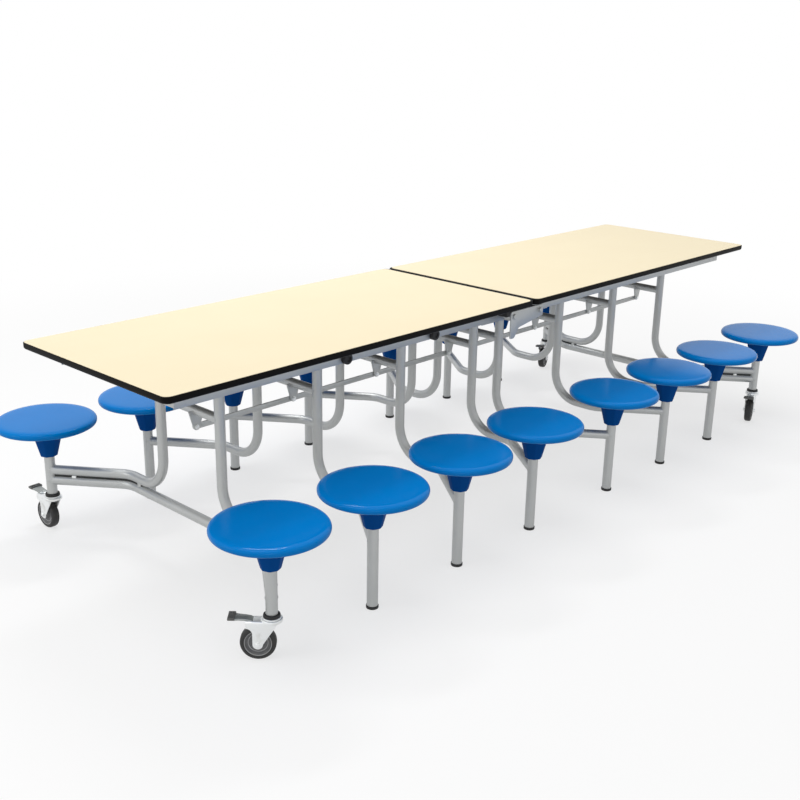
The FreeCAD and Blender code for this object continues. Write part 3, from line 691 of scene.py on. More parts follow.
def folded(x, y, z, drop, folds):
    """Strip between two x and two y bounds at height z, with its edges on the named sides folded down."""
    centre = ((x[0] + x[1]) / 2, (y[0] + y[1]) / 2, z)
    strip = begin(bpy.ops.mesh.primitive_plane_add, (x[1] - x[0], y[1] - y[0], 1), size=1, location=centre)
    reach = {"+x": (0, x[1]), "-x": (0, x[0]), "+y": (1, y[1]), "-y": (1, y[0])}
    for fold in folds:
        axis, bound = reach[fold]
        pick("edges", lambda edge: lies_at(edge, axis, bound) and lies_at(edge, 2, z))
        push(0, 0, -drop)
    deck_up(strip)
    pick("edges", lambda edge: len(edge.link_faces) == 2)
    bpy.ops.mesh.bevel(offset=SHEET, segments=3)
    return thickened(strip, SHEET, SHEET_BREAK)


def subframe_steel():
    under = steel_high.z
    outer_x = steel_high.x
    side = steel_high.y
    strips = []
    for way in (-1, 1):
        flange_y = sorted((way * (side - FLANGE), way * side))
        strips.append(folded((APRON_START, outer_x), flange_y, under, steel_drop + APRON_HEM,
                             ["+y" if way > 0 else "-y"]))
        rail_y = sorted((way * (LEG_Y - RAIL_HALF), way * (LEG_Y + RAIL_HALF)))
        strips.append(folded((steel_low.x, outer_x - SHEET), rail_y, under, RAIL_DROP, ["+y", "-y"]))
    inside = (-(side - SHEET), side - SHEET)
    strips.append(folded((outer_x - FLANGE, outer_x), inside, under, steel_drop, ["+x"]))
    strips.append(folded((APRON_START, APRON_START + FLANGE), inside, under, INNER_BAR_DROP, ["-x"]))
    return joined(strips)


leaf_pair(subframe_steel(), "subframe_", silver, "paint_silver")
print("subframe folds", steel_drop, "m deep")

# %% [markdown]
# ## Bolts
# Pins, axles and pivots all end in a hexagon with a washer under it. A hexagon is a six-sided cylinder:
# its outer face is inset and pushed out for the crown, and its edges are broken with a small bevel. Any
# bolt is then two ends and a shank, turned to the way it points.

# %% A bolt end and a bolt
# Each of these is a share of the bolt's own radius or height, or of its washer.
WASHER_SHARE, WASHER_REACH, WASHER_BREAK = 0.2, 1.18, 0.4
HEAD_CHAMFER, HEAD_CROWN, HEAD_BREAK = 0.16, 0.06, 0.05
ROD_BREAK = 0.15
SHANK_PAST_NUT = 1.3


def turned_to(axis):
    """Rotation that takes +Z to an axis."""
    return Vector(axis).to_track_quat("Z", "Y").to_euler()


def hex_end(at, axis, radius, height):
    """Hexagon with a washer, standing on a point and looking along an axis."""
    axis = Vector(axis)
    washer_thick = height * WASHER_SHARE
    head_thick = height - washer_thick
    turn = turned_to(axis)
    head = begin(bpy.ops.mesh.primitive_cylinder_add, vertices=6, radius=radius, depth=head_thick,
                 rotation=turn, location=Vector(at) + axis * (washer_thick + head_thick / 2))
    pick("faces", lambda face: face.normal.dot(axis) > FACING)
    bpy.ops.mesh.inset(thickness=radius * HEAD_CHAMFER)
    bpy.ops.transform.translate(value=axis * radius * HEAD_CROWN)
    pick_all()
    bpy.ops.mesh.bevel(offset=radius * HEAD_BREAK, segments=2)
    settle(head)
    washer = begin(bpy.ops.mesh.primitive_cylinder_add, vertices=32, radius=radius * WASHER_REACH,
                   depth=washer_thick, rotation=turn, location=Vector(at) + axis * washer_thick / 2)
    pick("faces", lambda face: face.normal.dot(axis) > FACING)
    bpy.ops.mesh.bevel(offset=washer_thick * WASHER_BREAK, segments=2)
    settle(washer)
    return [head, washer]


def plain_rod(start, end, radius, sides=24):
    """Straight round bar with broken end edges."""
    start, end = Vector(start), Vector(end)
    rod = begin(bpy.ops.mesh.primitive_cylinder_add, vertices=sides, radius=radius,
                depth=(end - start).length, rotation=turned_to(end - start), location=(start + end) / 2)
    pick("faces", lambda face: len(face.verts) > 4)
    bpy.ops.mesh.bevel(offset=radius * ROD_BREAK, segments=2)
    return [settle(rod)]


def cross_bolt(x, z, head_y, nut_y, shank, head, height):
    """Bolt across the table from a head at one y to a nut at another."""
    way = math.copysign(1, head_y - nut_y)
    ends = hex_end((x, head_y, z), (0, way, 0), head, height)
    ends += hex_end((x, nut_y, z), (0, -way, 0), head, height)
    return ends + plain_rod((x, nut_y - way * height * SHANK_PAST_NUT, z), (x, head_y, z), shank)


def pivot_of(leaf, number):
    """Place of a frame's pivots. That of frame a1 is the joint that drives the fold."""
    name = "fold" if (leaf, number) == ("a", 1) else f"frame_{leaf}{number}_pivot"
    return joint_at[name]


PIVOT_HEAD = 0.0098
PIVOT_HEIGHT = 0.006
PIVOT_SHANK = 0.006
for leaf in LEAVES:
    bolts = []
    for number in FRAMES:
        pivot = pivot_of(leaf, number)
        for way in (-1, 1):
            bolts += cross_bolt(pivot.x, pivot.z, way * (LEG_Y + RAIL_HALF), way * (LEG_Y - RAIL_HALF),
                                PIVOT_SHANK, PIVOT_HEAD, PIVOT_HEIGHT)
    dress(joined(bolts), f"pivot_pins_{leaf}", zinc, "zinc", "leaf_" + leaf, f"pivot_pins_{leaf}")
print("pivot bolts", 2 * len(FRAMES), "on each leaf")

# %% [markdown]
# ## Tubes
# A frame is bent tube. A curve with a round bevel could draw it, but a tube bender works differently:
# it pushes the tube straight, then turns it about a die. The same happens here. A circle is extruded
# along each straight run and spun about the die's centre at each bend. Spin turns the other way round
# its axis, so the angle is negative.

# %% Bend a tube
BEND_STEP = math.radians(7)
WELD_BEAD = 0.0018


def tube(radius, points, bends, sides=32):
    """Closed round tube along straight runs through points, with a bend radius at each inner point."""
    points = [Vector(point) for point in points]
    run = (points[1] - points[0]).normalized()
    made = begin(bpy.ops.mesh.primitive_circle_add, vertices=sides, radius=radius, fill_type="NOTHING",
                 location=points[0], rotation=turned_to(run))
    pick_all()
    here = points[0]
    for goal, after, bend in zip(points[1:-1], points[2:], bends):
        following = (after - goal).normalized()
        turn = run.angle(following)
        bend_start = goal - run * bend * math.tan(turn / 2)
        axis = run.cross(following).normalized()
        push(*(bend_start - here))
        bpy.ops.mesh.spin(steps=max(4, round(turn / BEND_STEP)), angle=-turn, axis=axis,
                          center=bend_start + axis.cross(run) * bend)
        here = goal + following * bend * math.tan(turn / 2)
        run = following
    push(*(points[-1] - here))
    pick("edges", lambda edge: edge.is_boundary)
    bpy.ops.mesh.fill_holes(sides=0)
    return settle(made, angle=50)


def weld(at, along, radius, post_radius):
    """Bead where a tube meets an upright post: a thin ring, pulled back to hug the post."""
    along = Vector(along).normalized()
    side = along.cross(Vector((0, 0, 1)))
    ring = begin(bpy.ops.mesh.primitive_torus_add, major_radius=radius, minor_radius=WELD_BEAD,
                 major_segments=40, minor_segments=10, location=at, rotation=turned_to(along))
    shape = bmesh.from_edit_mesh(ring.data)
    for vert in shape.verts:
        beside = min(abs((vert.co - Vector(at)).dot(side)), post_radius)
        vert.co += along * math.sqrt(post_radius ** 2 - beside ** 2)
    bmesh.update_edit_mesh(ring.data)
    return settle(ring, angle=180)


print("tube bender ready")

# %% [markdown]
# ## Seat frames
# Each frame has two legs that hang from the leaf, bend out under the table and splay to the seat posts.
# A cross tube ties the legs. The outer frame of each leaf also has a lower tube from post to post,
# which stiffens it over its castors. One inner and one outer frame are modelled with their pivot at
# zero along x, and the eight frames are copies, moved to their places and mirrored on leaf b.

# %% Bend and weld the frames
LEG_RADIUS = 0.016
POST_RADIUS = 0.017
CROSS_RADIUS = 0.015
LOWER_RADIUS = 0.0165
POST_CLEAR = 0.0004
LEG_BEND = 0.110
ARM_BEND = 0.090
ARM_CORNER = 0.343
STUB_REACH = 0.285
STUB_RADIUS = 0.012
LOWER_DROP = 0.036
LEG_CROWN = 0.012
CROSS_DROP = 0.140
FOOT_HEIGHT = 0.010
ARM_Z = 0.220
CASTOR_TOP = 0.128
pivot_z = joint_at["fold"].z
lower_z = ARM_Z - LOWER_DROP
cross_z = pivot_z - CROSS_DROP
post_x = joint_at["swivel_a1_near"].x - joint_at["fold"].x
post_y = joint_at["swivel_a1_far"].y
post_tops = {True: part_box("seat_a1_near")[0].z - POST_CLEAR,
             False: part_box("seat_a2_near")[0].z - POST_CLEAR}
foot_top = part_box("feet_a2")[0].z + FOOT_HEIGHT


def frame_steel(is_outer):
    parts = []
    for way in (-1, 1):
        foot = Vector((post_x, way * post_y, CASTOR_TOP if is_outer else foot_top))
        corner = Vector((0, way * ARM_CORNER, ARM_Z))
        joint = Vector((post_x, way * post_y, ARM_Z))
        leg = [(0, way * LEG_Y, pivot_z + LEG_CROWN), (0, way * LEG_Y, ARM_Z), corner, joint]
        parts.append(tube(LEG_RADIUS, leg, [LEG_BEND, ARM_BEND]))
        parts.append(tube(POST_RADIUS, [foot, (foot.x, foot.y, post_tops[is_outer])], []))
        parts.append(weld(joint, corner - joint, LEG_RADIUS, POST_RADIUS))
        parts.append(weld((0, way * LEG_Y, cross_z), (0, -way, 0), CROSS_RADIUS, LEG_RADIUS))
        if is_outer:
            drop = Vector((0, 0, -LOWER_DROP))
            parts.append(weld(joint + drop, corner - joint, LOWER_RADIUS, POST_RADIUS))
            parts += plain_rod((0, way * STUB_REACH, lower_z), (0, way * STUB_REACH, ARM_Z), STUB_RADIUS)
    parts.append(tube(CROSS_RADIUS, [(0, -LEG_Y, cross_z), (0, LEG_Y, cross_z)], []))
    if is_outer:
        ends = [Vector((post_x, way * post_y, lower_z)) for way in (-1, 1)]
        corners = [Vector((0, way * ARM_CORNER, lower_z)) for way in (-1, 1)]
        parts.append(tube(LOWER_RADIUS, [ends[0], corners[0], corners[1], ends[1]], [ARM_BEND, ARM_BEND]))
    return joined(parts)


def frame_move(leaf, number):
    """Moves what is modelled on leaf a with its pivot at x = 0 to a frame."""
    move = Matrix.Translation((pivot_of(leaf, number).x, 0, 0))
    return move if LEAVES[leaf] < 0 else move @ MIRROR_X


frame_masters = {True: frame_steel(True), False: frame_steel(False)}
for leaf in LEAVES:
    for number in FRAMES:
        tag = f"{leaf}{number}"
        steel = twin(frame_masters[number == 1], frame_move(leaf, number))
        dress(steel, f"frame_{tag}_tubes", silver, "paint_silver", "frame_" + tag, "frame_" + tag)
for master in frame_masters.values():
    bpy.data.objects.remove(master)
print("frames", len(LEAVES) * len(FRAMES))

# %% [markdown]
# ## Packing and painted shade between the outer tubes
# On the outer frames a dark rubber rod lies between the arm and the lower tube. It is partly packing
# and partly painted shade: it is made thick enough to fill the groove, so that its black stands for the
# shade between the tubes as a black line. A small clip near the post holds it. The rod is bent on the
# same dies, and the clip is a bevelled block.

# %% Lay the packing
# The rod is thick enough to fill the groove, so its black also paints the shade between the tubes.
PACKING_AND_SHADE_RADIUS = 0.008
PACKING_AND_SHADE_SIDES = 12
CLIP_FROM_POST = 0.085
CLIP_SIZE = (0.014, 0.026, 0.008)
CLIP_BREAK = 0.001
packing_and_shade_z = (ARM_Z - LEG_RADIUS + lower_z + LOWER_RADIUS) / 2


def packing_and_shade_pair():
    strips = []
    clips = []
    for way in (-1, 1):
        post = Vector((post_x, way * post_y, packing_and_shade_z))
        corner = Vector((0, way * ARM_CORNER, packing_and_shade_z))
        along = (corner - post).normalized()
        inner_end = Vector((0, way * (STUB_REACH - STUB_RADIUS), packing_and_shade_z))
        groove = [post + along * POST_RADIUS, corner, inner_end]
        strips.append(tube(PACKING_AND_SHADE_RADIUS, groove, [ARM_BEND], PACKING_AND_SHADE_SIDES))
        clip = begin(bpy.ops.mesh.primitive_cube_add, CLIP_SIZE, size=1,
                     location=post + along * CLIP_FROM_POST, rotation=(0, 0, math.atan2(along.y, along.x)))
        pick_all()
        bpy.ops.mesh.bevel(offset=CLIP_BREAK, segments=2)
        clips.append(settle(clip))
    return joined(strips), joined(clips)


packing_and_shade, clips = packing_and_shade_pair()
for leaf in LEAVES:
    body = f"frame_{leaf}1"
    move = frame_move(leaf, 1)
    dress(twin(packing_and_shade, move), body + "_packing", rubber, "rubber_black", body)
    dress(twin(clips, move), body + "_clips", zinc, "zinc", body)
bpy.data.objects.remove(packing_and_shade)
bpy.data.objects.remove(clips)
print("packing at", round(packing_and_shade_z, 4), "m")

# %% [markdown]
# ## Ears and link pins
# Under each cross tube hangs a plate with a pin that carries the link bar. The plate is cut from sheet:
# a plane whose lower edge is drawn in and rounded, then given its thickness and broken edges.

# %% Cut the ears
EAR_WIDTH = 0.056
EAR_TIP = 0.019
EAR_ROUND = 0.42 * EAR_TIP
EAR_THICK = 0.005
EAR_NEAR = -0.038
PIN_HEAD = 0.0068
PIN_HEIGHT = 0.004
PIN_SHANK = 0.004
RUNNING_GAP = 0.0003
PLATE_BREAK = 0.0006
SHARP = math.radians(60)
pin_z = joint_at["link_bar_a_pivot"].z
bar_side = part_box("link_bar_a")[1].y


def plated(outline, thick):
    """Give a flat outline its thickness along y, then break its edges and settle it."""
    pick_all()
    push(0, thick, 0)
    pick_all()
    bpy.ops.mesh.normals_make_consistent(inside=False)
    pick("edges", lambda edge: edge.calc_face_angle() > SHARP)
    bpy.ops.mesh.bevel(offset=PLATE_BREAK, segments=2)
    return settle(outline)


def ear_plate():
    tip_z = pin_z - EAR_TIP / 2
    plate = begin(bpy.ops.mesh.primitive_plane_add, (EAR_WIDTH, cross_z - tip_z, 1), size=1,
                  location=(0, EAR_NEAR, (cross_z + tip_z) / 2), rotation=(math.pi / 2, 0, 0))
    pick("verts", lambda vert: vert.co.z < pin_z)
    bpy.ops.transform.resize(value=(EAR_TIP / EAR_WIDTH, 1, 1), center_override=(0, EAR_NEAR, tip_z))
    bpy.ops.mesh.bevel(offset=EAR_ROUND, segments=6, affect="VERTICES")
    return plated(plate, EAR_THICK)


ear = ear_plate()
pin = joined(cross_bolt(0, pin_z, EAR_NEAR, bar_side + RUNNING_GAP, PIN_SHANK, PIN_HEAD, PIN_HEIGHT))
for leaf in LEAVES:
    for number in FRAMES:
        tag = f"{leaf}{number}"
        move = Matrix.Translation((pivot_of(leaf, number).x, 0, 0))
        dress(twin(ear, move), f"frame_{tag}_ear", silver, "paint_silver", "frame_" + tag)
        dress(twin(pin, move), f"frame_{tag}_link_pin", zinc, "zinc", "frame_" + tag)
bpy.data.objects.remove(ear)
bpy.data.objects.remove(pin)
print("ears at", round(pin_z, 3), "m")

# %% [markdown]
# ## Link bars
# A flat bar joins the four ears of a leaf, so that its frames stay upright together. It is a long box
# whose end corners are rounded to half circles and whose long edges are broken.

# %% Cut the link bars
BAR_BREAK = 0.0008
ROUND_SLACK = 1e-5
for leaf in LEAVES:
    name = "link_bar_" + leaf
    low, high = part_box(name)
    size = high - low
    bar = begin(bpy.ops.mesh.primitive_cube_add, size, size=1, location=(low + high) / 2)
    pick("edges", lambda edge: abs(edge.verts[0].co.y - edge.verts[1].co.y) > size.y / 2)
    bpy.ops.mesh.bevel(offset=size.z / 2 - ROUND_SLACK, segments=8)
    pick("edges", lambda edge: edge.calc_face_angle() > SHARP)
    bpy.ops.mesh.bevel(offset=BAR_BREAK, segments=2)
    dress(settle(bar), name, silver, "paint_silver", name, name)
print("link bars", round(size.x, 3), "m long")

# %% [markdown]
# ## Seats
# A seat is a round disc with a thin rolled rim, on a faceted hub that turns on its post. The disc is a
# cylinder whose top is crowned by insets near the rim, where it catches a crescent of light, and whose
# two arrises are then bevelled. Below, the moulding is hollowed to a shell, and a union makes its
# sloping ribs one skin with it. The eight-sided hub is a cone with soft corners.

# %% Mould the seats
SEAT_SIDES = 96
SEAT_EDGE = 0.023
RIM_ROUND = 0.007
RIM_UNDER_ROUND = 0.008
CROWN_STEPS = ((0.008, 0.0032), (0.006, 0.0011), (0.006, 0.0007), (0.008, 0.0003),
               (0.040, 0.0), (0.040, 0.0))
SHELL_RIM = 0.008
SHELL_HOLLOW = 0.008
HUB_SIDES = 8
HUB_TOP_RADIUS = 0.060
HUB_FOOT_RADIUS = 0.029
HUB_CHAMFER = 0.002
HUB_CORNER = 0.0035
HUB_SINK = 0.003
RIB_START = 0.8 * HUB_TOP_RADIUS
RIB_THICK = 0.004
RIB_DROP = 0.011
RIB_RISE = 0.001
RIB_SINK = 0.002
RIB_BREAK = 0.001
seat_low, seat_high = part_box("seat_a1_near")
seat_radius = (seat_high.x - seat_low.x) / 2
rim_top = seat_high.z - sum(rise for width, rise in CROWN_STEPS)
rim_under = seat_high.z - SEAT_EDGE
shell_roof = rim_under + SHELL_HOLLOW


def seat_disc():
    disc = begin(bpy.ops.mesh.primitive_cylinder_add, vertices=SEAT_SIDES, radius=seat_radius,
                 depth=rim_top - rim_under, location=(0, 0, (rim_top + rim_under) / 2))
    pick("faces", lambda face: face.normal.z > FACING)
    for width, rise in CROWN_STEPS:
        bpy.ops.mesh.inset(thickness=width)
        bpy.ops.transform.translate(value=(0, 0, rise))
    for height, radius, steps in ((rim_top, RIM_ROUND, 9), (rim_under, RIM_UNDER_ROUND, 4)):
        pick("edges", lambda edge: lies_at(edge, 2, height))
        bpy.ops.mesh.bevel(offset=radius, segments=steps)
    pick("faces", lambda face: face.normal.z < -FACING and len(face.verts) > 4)
    bpy.ops.mesh.inset(thickness=SHELL_RIM)
    push(0, 0, SHELL_HOLLOW)
    return settle(disc)


def seat_hub():
    hub_top = shell_roof + HUB_SINK
    tall = hub_top - seat_low.z
    hub = begin(bpy.ops.mesh.primitive_cone_add, vertices=HUB_SIDES, radius1=HUB_FOOT_RADIUS,
                radius2=HUB_TOP_RADIUS, depth=tall, location=(0, 0, (hub_top + seat_low.z) / 2))
    pick("edges", lambda edge: abs(edge.verts[0].co.z - edge.verts[1].co.z) > tall / 2)
    bpy.ops.mesh.bevel(offset=HUB_CORNER, segments=3)
    pick("edges", lambda edge: lies_at(edge, 2, seat_low.z))
    bpy.ops.mesh.bevel(offset=HUB_CHAMFER, segments=2)
    return settle(hub)


def seat_ribs():
    low = Vector((RIB_START, -RIB_THICK / 2, rim_under + RIB_RISE))
    high = Vector((seat_radius - RIM_UNDER_ROUND - SHELL_RIM / 2, RIB_THICK / 2, shell_roof + RIB_SINK))
    centre = (low + high) / 2
    rib = begin(bpy.ops.mesh.primitive_cube_add, high - low, size=1, location=centre)
    pick("verts", lambda vert: vert.co.z < centre.z and vert.co.x < centre.x)
    bpy.ops.transform.translate(value=(0, 0, -RIB_DROP))
    pick("edges", lambda edge: middle(edge).z < rim_under + RIB_SINK and abs(middle(edge).y) > RIB_THICK / 3)
    bpy.ops.mesh.bevel(offset=RIB_BREAK, segments=2)
    settle(rib)
    ribs = [twin(rib, Matrix.Rotation(math.tau * step / HUB_SIDES, 4, "Z")) for step in range(HUB_SIDES)]
    bpy.data.objects.remove(rib)
    return ribs


def seat_moulding():
    disc = seat_disc()
    ribs = joined(seat_ribs())
    modify(disc, "BOOLEAN", operation="UNION", solver="EXACT", object=ribs, use_self=True)
    bpy.data.objects.remove(ribs)
    bpy.ops.object.select_all(action="DESELECT")
    disc.select_set(True)
    bpy.context.view_layer.objects.active = disc
    bpy.ops.object.mode_set(mode="EDIT")
    return settle(disc)


masters = ((seat_moulding(), "disc", seat_blue), (seat_hub(), "hub", hub_navy))
for leaf in LEAVES:
    for number in FRAMES:
        for side in SIDES:
            tag = f"seat_{leaf}{number}_{side}"
            spot = joint_at[f"swivel_{leaf}{number}_{side}"]
            move = Matrix.Translation((spot.x, spot.y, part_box(tag)[1].z - seat_high.z))
            for master, word, finish in masters:
                dress(twin(master, move), f"{tag}_{word}", finish, "seat_blue", tag, tag)
for master, word, finish in masters:
    print("seat", word, len(master.data.polygons), "faces")
    bpy.data.objects.remove(master)

# %% [markdown]
# ## Rubber feet
# The inner posts stand on rubber feet pushed into the tube. Each is a cylinder whose tread is rounded
# over and whose shoulder is drawn in to a lip against the tube.

# %% Mould the feet
FOOT_RADIUS = 0.019
TREAD_ROUND = 0.0025
TREAD_RIM = 0.004
TREAD_HOLLOW = 0.002
LIP_ROUND = 0.0012


def foot_rubber():
    pad = begin(bpy.ops.mesh.primitive_cylinder_add, vertices=48, radius=FOOT_RADIUS, depth=FOOT_HEIGHT,
                location=(0, 0, FOOT_HEIGHT / 2))
    pick("edges", lambda edge: lies_at(edge, 2, 0))
    bpy.ops.mesh.bevel(offset=TREAD_ROUND, segments=4)
    pick("edges", lambda edge: lies_at(edge, 2, FOOT_HEIGHT))
    bpy.ops.mesh.bevel(offset=LIP_ROUND, segments=3)
    pick("faces", lambda face: face.normal.z < -FACING and len(face.verts) > 4)
    bpy.ops.mesh.inset(thickness=TREAD_RIM)
    push(0, 0, TREAD_HOLLOW)
    return settle(pad)


master = foot_rubber()
for leaf in LEAVES:
    for number in FRAMES[1:]:
        pair = []
        for side in SIDES:
            spot = joint_at[f"swivel_{leaf}{number}_{side}"]
            pair.append(twin(master, Matrix.Translation((spot.x, spot.y, 0))))
        tag = f"{leaf}{number}"
        dress(joined(pair), "feet_" + tag, rubber, "rubber_black", "frame_" + tag, "feet_" + tag)
bpy.data.objects.remove(master)
print("feet", 2 * len(LEAVES) * len(FRAMES[1:]))

# %% [markdown]
# ## Castor stems
# A castor is plugged into the post's end. A black collar closes the tube, and below it lies a bright
# flange. The collar's black is painted shade, standing for the dark inside of the cup where the post
# goes in. The plug itself is out of sight, so only the collar, the flange, the king pin and its nut
# under the fork's crown are modelled.

# %% Turn the stems
FLANGE_RADIUS = 0.026
FLANGE_LOW = 0.124
SHADE_COLLAR_RADIUS = 0.0235
SHADE_COLLAR_HEIGHT = 0.009
KING_NUT_TOP = 0.114
KING_NUT_RADIUS = 0.0098
KING_NUT_HEIGHT = 0.009
KING_RADIUS = 0.006
FLANGE_ROUNDS = (0.001, 0.0015)
SHADE_COLLAR_ROUNDS = (0.001, 0.004)


def turned_disc(low, high, radius, rounds):
    """Disc about the z axis, with its lower and upper rims rounded."""
    disc = begin(bpy.ops.mesh.primitive_cylinder_add, vertices=64, radius=radius, depth=high - low,
                 location=(0, 0, (low + high) / 2))
    for height, size in zip((low, high), rounds):
        pick("edges", lambda edge: lies_at(edge, 2, height))
        bpy.ops.mesh.bevel(offset=size, segments=4)
    return settle(disc)


king = plain_rod((0, 0, KING_NUT_TOP - KING_NUT_HEIGHT), (0, 0, FLANGE_LOW), KING_RADIUS)
flange = joined([turned_disc(FLANGE_LOW, CASTOR_TOP, FLANGE_RADIUS, FLANGE_ROUNDS)] + king
                + hex_end((0, 0, KING_NUT_TOP), (0, 0, -1), KING_NUT_RADIUS, KING_NUT_HEIGHT))
# Black collar whose colour paints the shade inside the cup round the post's end.
shade_collar = turned_disc(CASTOR_TOP, CASTOR_TOP + SHADE_COLLAR_HEIGHT, SHADE_COLLAR_RADIUS, SHADE_COLLAR_ROUNDS)
for leaf in LEAVES:
    for stem, finish, slot, nodes in ((flange, zinc, "zinc", [f"castor_stems_{leaf}1"]),
                                      (shade_collar, rubber, "rubber_black", [])):
        pair = []
        for side in SIDES:
            spot = joint_at[f"castor_swivel_{leaf}1_{side}"]
            pair.append(twin(stem, Matrix.Translation((spot.x, spot.y, 0))))
        name = f"castor_stems_{leaf}1" if nodes else f"castor_collars_{leaf}1"
        dress(joined(pair), name, finish, slot, f"frame_{leaf}1", *nodes)
bpy.data.objects.remove(flange)
bpy.data.objects.remove(shade_collar)
print("castor stems at", CASTOR_TOP, "m")

# %% [markdown]
# ## Castor forks
# The fork is one pressing: a deck under the king pin whose sides fold down to the axle, wide at the
# shoulders, with a tail under the pedal. It starts as the flat deck. Each side is drawn down in steps,
# and the two ends of every step are moved to the fork's outline. The folds are rounded and the sheet is
# thickened inwards.

# %% Press the forks
FORK_HALF = 0.0195
FORK_DECK = 0.119
FORK_FRONT = -0.021
FORK_TAIL = 0.070
TAIL_LOW = 0.099
FORK_EYE = 0.014
FORK_SHOULDER = 0.008
FORK_FOLD = 0.006
FORK_WALL = 0.003
FORK_BREAK = 0.0006
TAIL_STEPS = 6
EYE_STEPS = 8
EYE_SWEEP = math.radians(88)
CROWN_RADIUS = 0.030
CROWN_LOW, CROWN_HIGH = 0.1145, 0.1235
CROWN_ROUNDS = (0.002, 0.003)
AXLE_X, AXLE_Z = 0.038, 0.050
AXLE_SHANK, AXLE_HEAD, AXLE_HEIGHT = 0.004, 0.0075, 0.005
PEDAL_PIN_Z = 0.108
PEDAL_PIN_RADIUS = 0.0025
PEDAL_PIN_PROUD = 0.001
LEG_BACK = AXLE_X + FORK_EYE
TAIL_CURVE = FORK_TAIL - LEG_BACK


def fork_outline():
    """Rows of height, front and back of a fork's cheek, from the deck down to the eye."""
    def front(z):
        return FORK_FRONT + (AXLE_X - FORK_EYE - FORK_FRONT) * (FORK_DECK - z) / (FORK_DECK - AXLE_Z)
    rows = [(z, front(z), FORK_TAIL) for z in (FORK_DECK - FORK_SHOULDER, TAIL_LOW)]
    for step in range(1, TAIL_STEPS + 1):
        angle = math.pi / 2 * step / TAIL_STEPS
        z = TAIL_LOW - TAIL_CURVE + TAIL_CURVE * math.cos(angle)
        rows.append((z, front(z), FORK_TAIL - TAIL_CURVE * math.sin(angle)))
    rows.append((AXLE_Z, front(AXLE_Z), LEG_BACK))
    for step in range(1, EYE_STEPS + 1):
        angle = EYE_SWEEP * step / EYE_STEPS
        half = FORK_EYE * math.cos(angle)
        rows.append((AXLE_Z - FORK_EYE * math.sin(angle), AXLE_X - half, AXLE_X + half))
    return rows


def fork_pressing():
    fork = begin(bpy.ops.mesh.primitive_plane_add, (FORK_TAIL - FORK_FRONT, 2 * FORK_HALF, 1), size=1,
                 location=((FORK_TAIL + FORK_FRONT) / 2, 0, FORK_DECK))
    for way in (-1, 1):
        pick("edges", lambda edge: lies_at(edge, 1, way * FORK_HALF))
        height = FORK_DECK
        for z, front, back in fork_outline():
            push(0, 0, z - height)
            height = z
            shape = bmesh.from_edit_mesh(fork.data)
            ends = sorted((vert for vert in shape.verts if vert.select), key=lambda vert: vert.co.x)
            ends[0].co.x = front
            ends[1].co.x = back
            bmesh.update_edit_mesh(fork.data)
    pick("edges", lambda edge: lies_at(edge, 2, FORK_DECK) and len(edge.link_faces) == 2)
    bpy.ops.mesh.bevel(offset=FORK_FOLD, segments=5)
    deck_up(fork)
    return thickened(fork, FORK_WALL, FORK_BREAK)


def castor_move(spot):
    """Moves what is modelled about a king pin at the origin, trailing to +x, to a castor."""
    king_pin = joint_at["castor_swivel_" + spot]
    axle = joint_at["wheel_spin_" + spot]
    turn = math.atan2(axle.y - king_pin.y, axle.x - king_pin.x)
    return Matrix.Translation((king_pin.x, king_pin.y, 0)) @ Matrix.Rotation(turn, 4, "Z")


CASTORS = [f"{leaf}1_{side}" for leaf in LEAVES for side in SIDES]
axle_bolt = cross_bolt(AXLE_X, AXLE_Z, -FORK_HALF, FORK_HALF, AXLE_SHANK, AXLE_HEAD, AXLE_HEIGHT)
pin_end = Vector((AXLE_X, FORK_HALF + PEDAL_PIN_PROUD, PEDAL_PIN_Z))
pedal_pin = plain_rod(MIRROR_Y @ pin_end, pin_end, PEDAL_PIN_RADIUS)
race = turned_disc(CROWN_LOW, CROWN_HIGH, CROWN_RADIUS, CROWN_ROUNDS)
master = joined([fork_pressing(), race] + axle_bolt + pedal_pin)
for spot in CASTORS:
    name = "castor_fork_" + spot
    dress(twin(master, castor_move(spot)), name, zinc, "zinc", "castor_" + spot, name)
bpy.data.objects.remove(master)
print("forks", len(CASTORS))

# %% [markdown]
# ## Castor wheels
# The wheel is a grey centre with a rubber tyre. A ring where they meet and another on its web are
# coloured pale, which paints the highlights on their lips. The tyre is a rounded section, kept as an
# outline and spun a full turn about the axle. The centre is a disc whose two faces are inset and pushed
# in and out for the rim, the web and the boss.

# %% Turn the wheels
WHEEL_RADIUS = 0.050
WHEEL_HALF = 0.014
RIM_RADIUS = 0.038
TYRE_SHOULDER = 0.008
TYRE_LIP = 0.001
WHEEL_SIDES = 72
CENTRE_INSET = 0.002
CENTRE_STEPS = ((0.0045, -0.0055), (0.0020, 0.0), (0.0140, 0.0), (0.0030, 0.0070), (0.0020, 0.0015))
CENTRE_SHARP = math.radians(30)
CENTRE_BREAK = 0.0005
HIGHLIGHT_RING_RADIUS = 0.0012
HIGHLIGHT_RING_CREST = 0.6 * HIGHLIGHT_RING_RADIUS
HIGHLIGHT_RING_FLAT = 0.0003
HIGHLIGHT_RINGS = ((RIM_RADIUS - 0.001, WHEEL_HALF - 0.002), (RIM_RADIUS - 0.011, WHEEL_HALF - 0.0075))


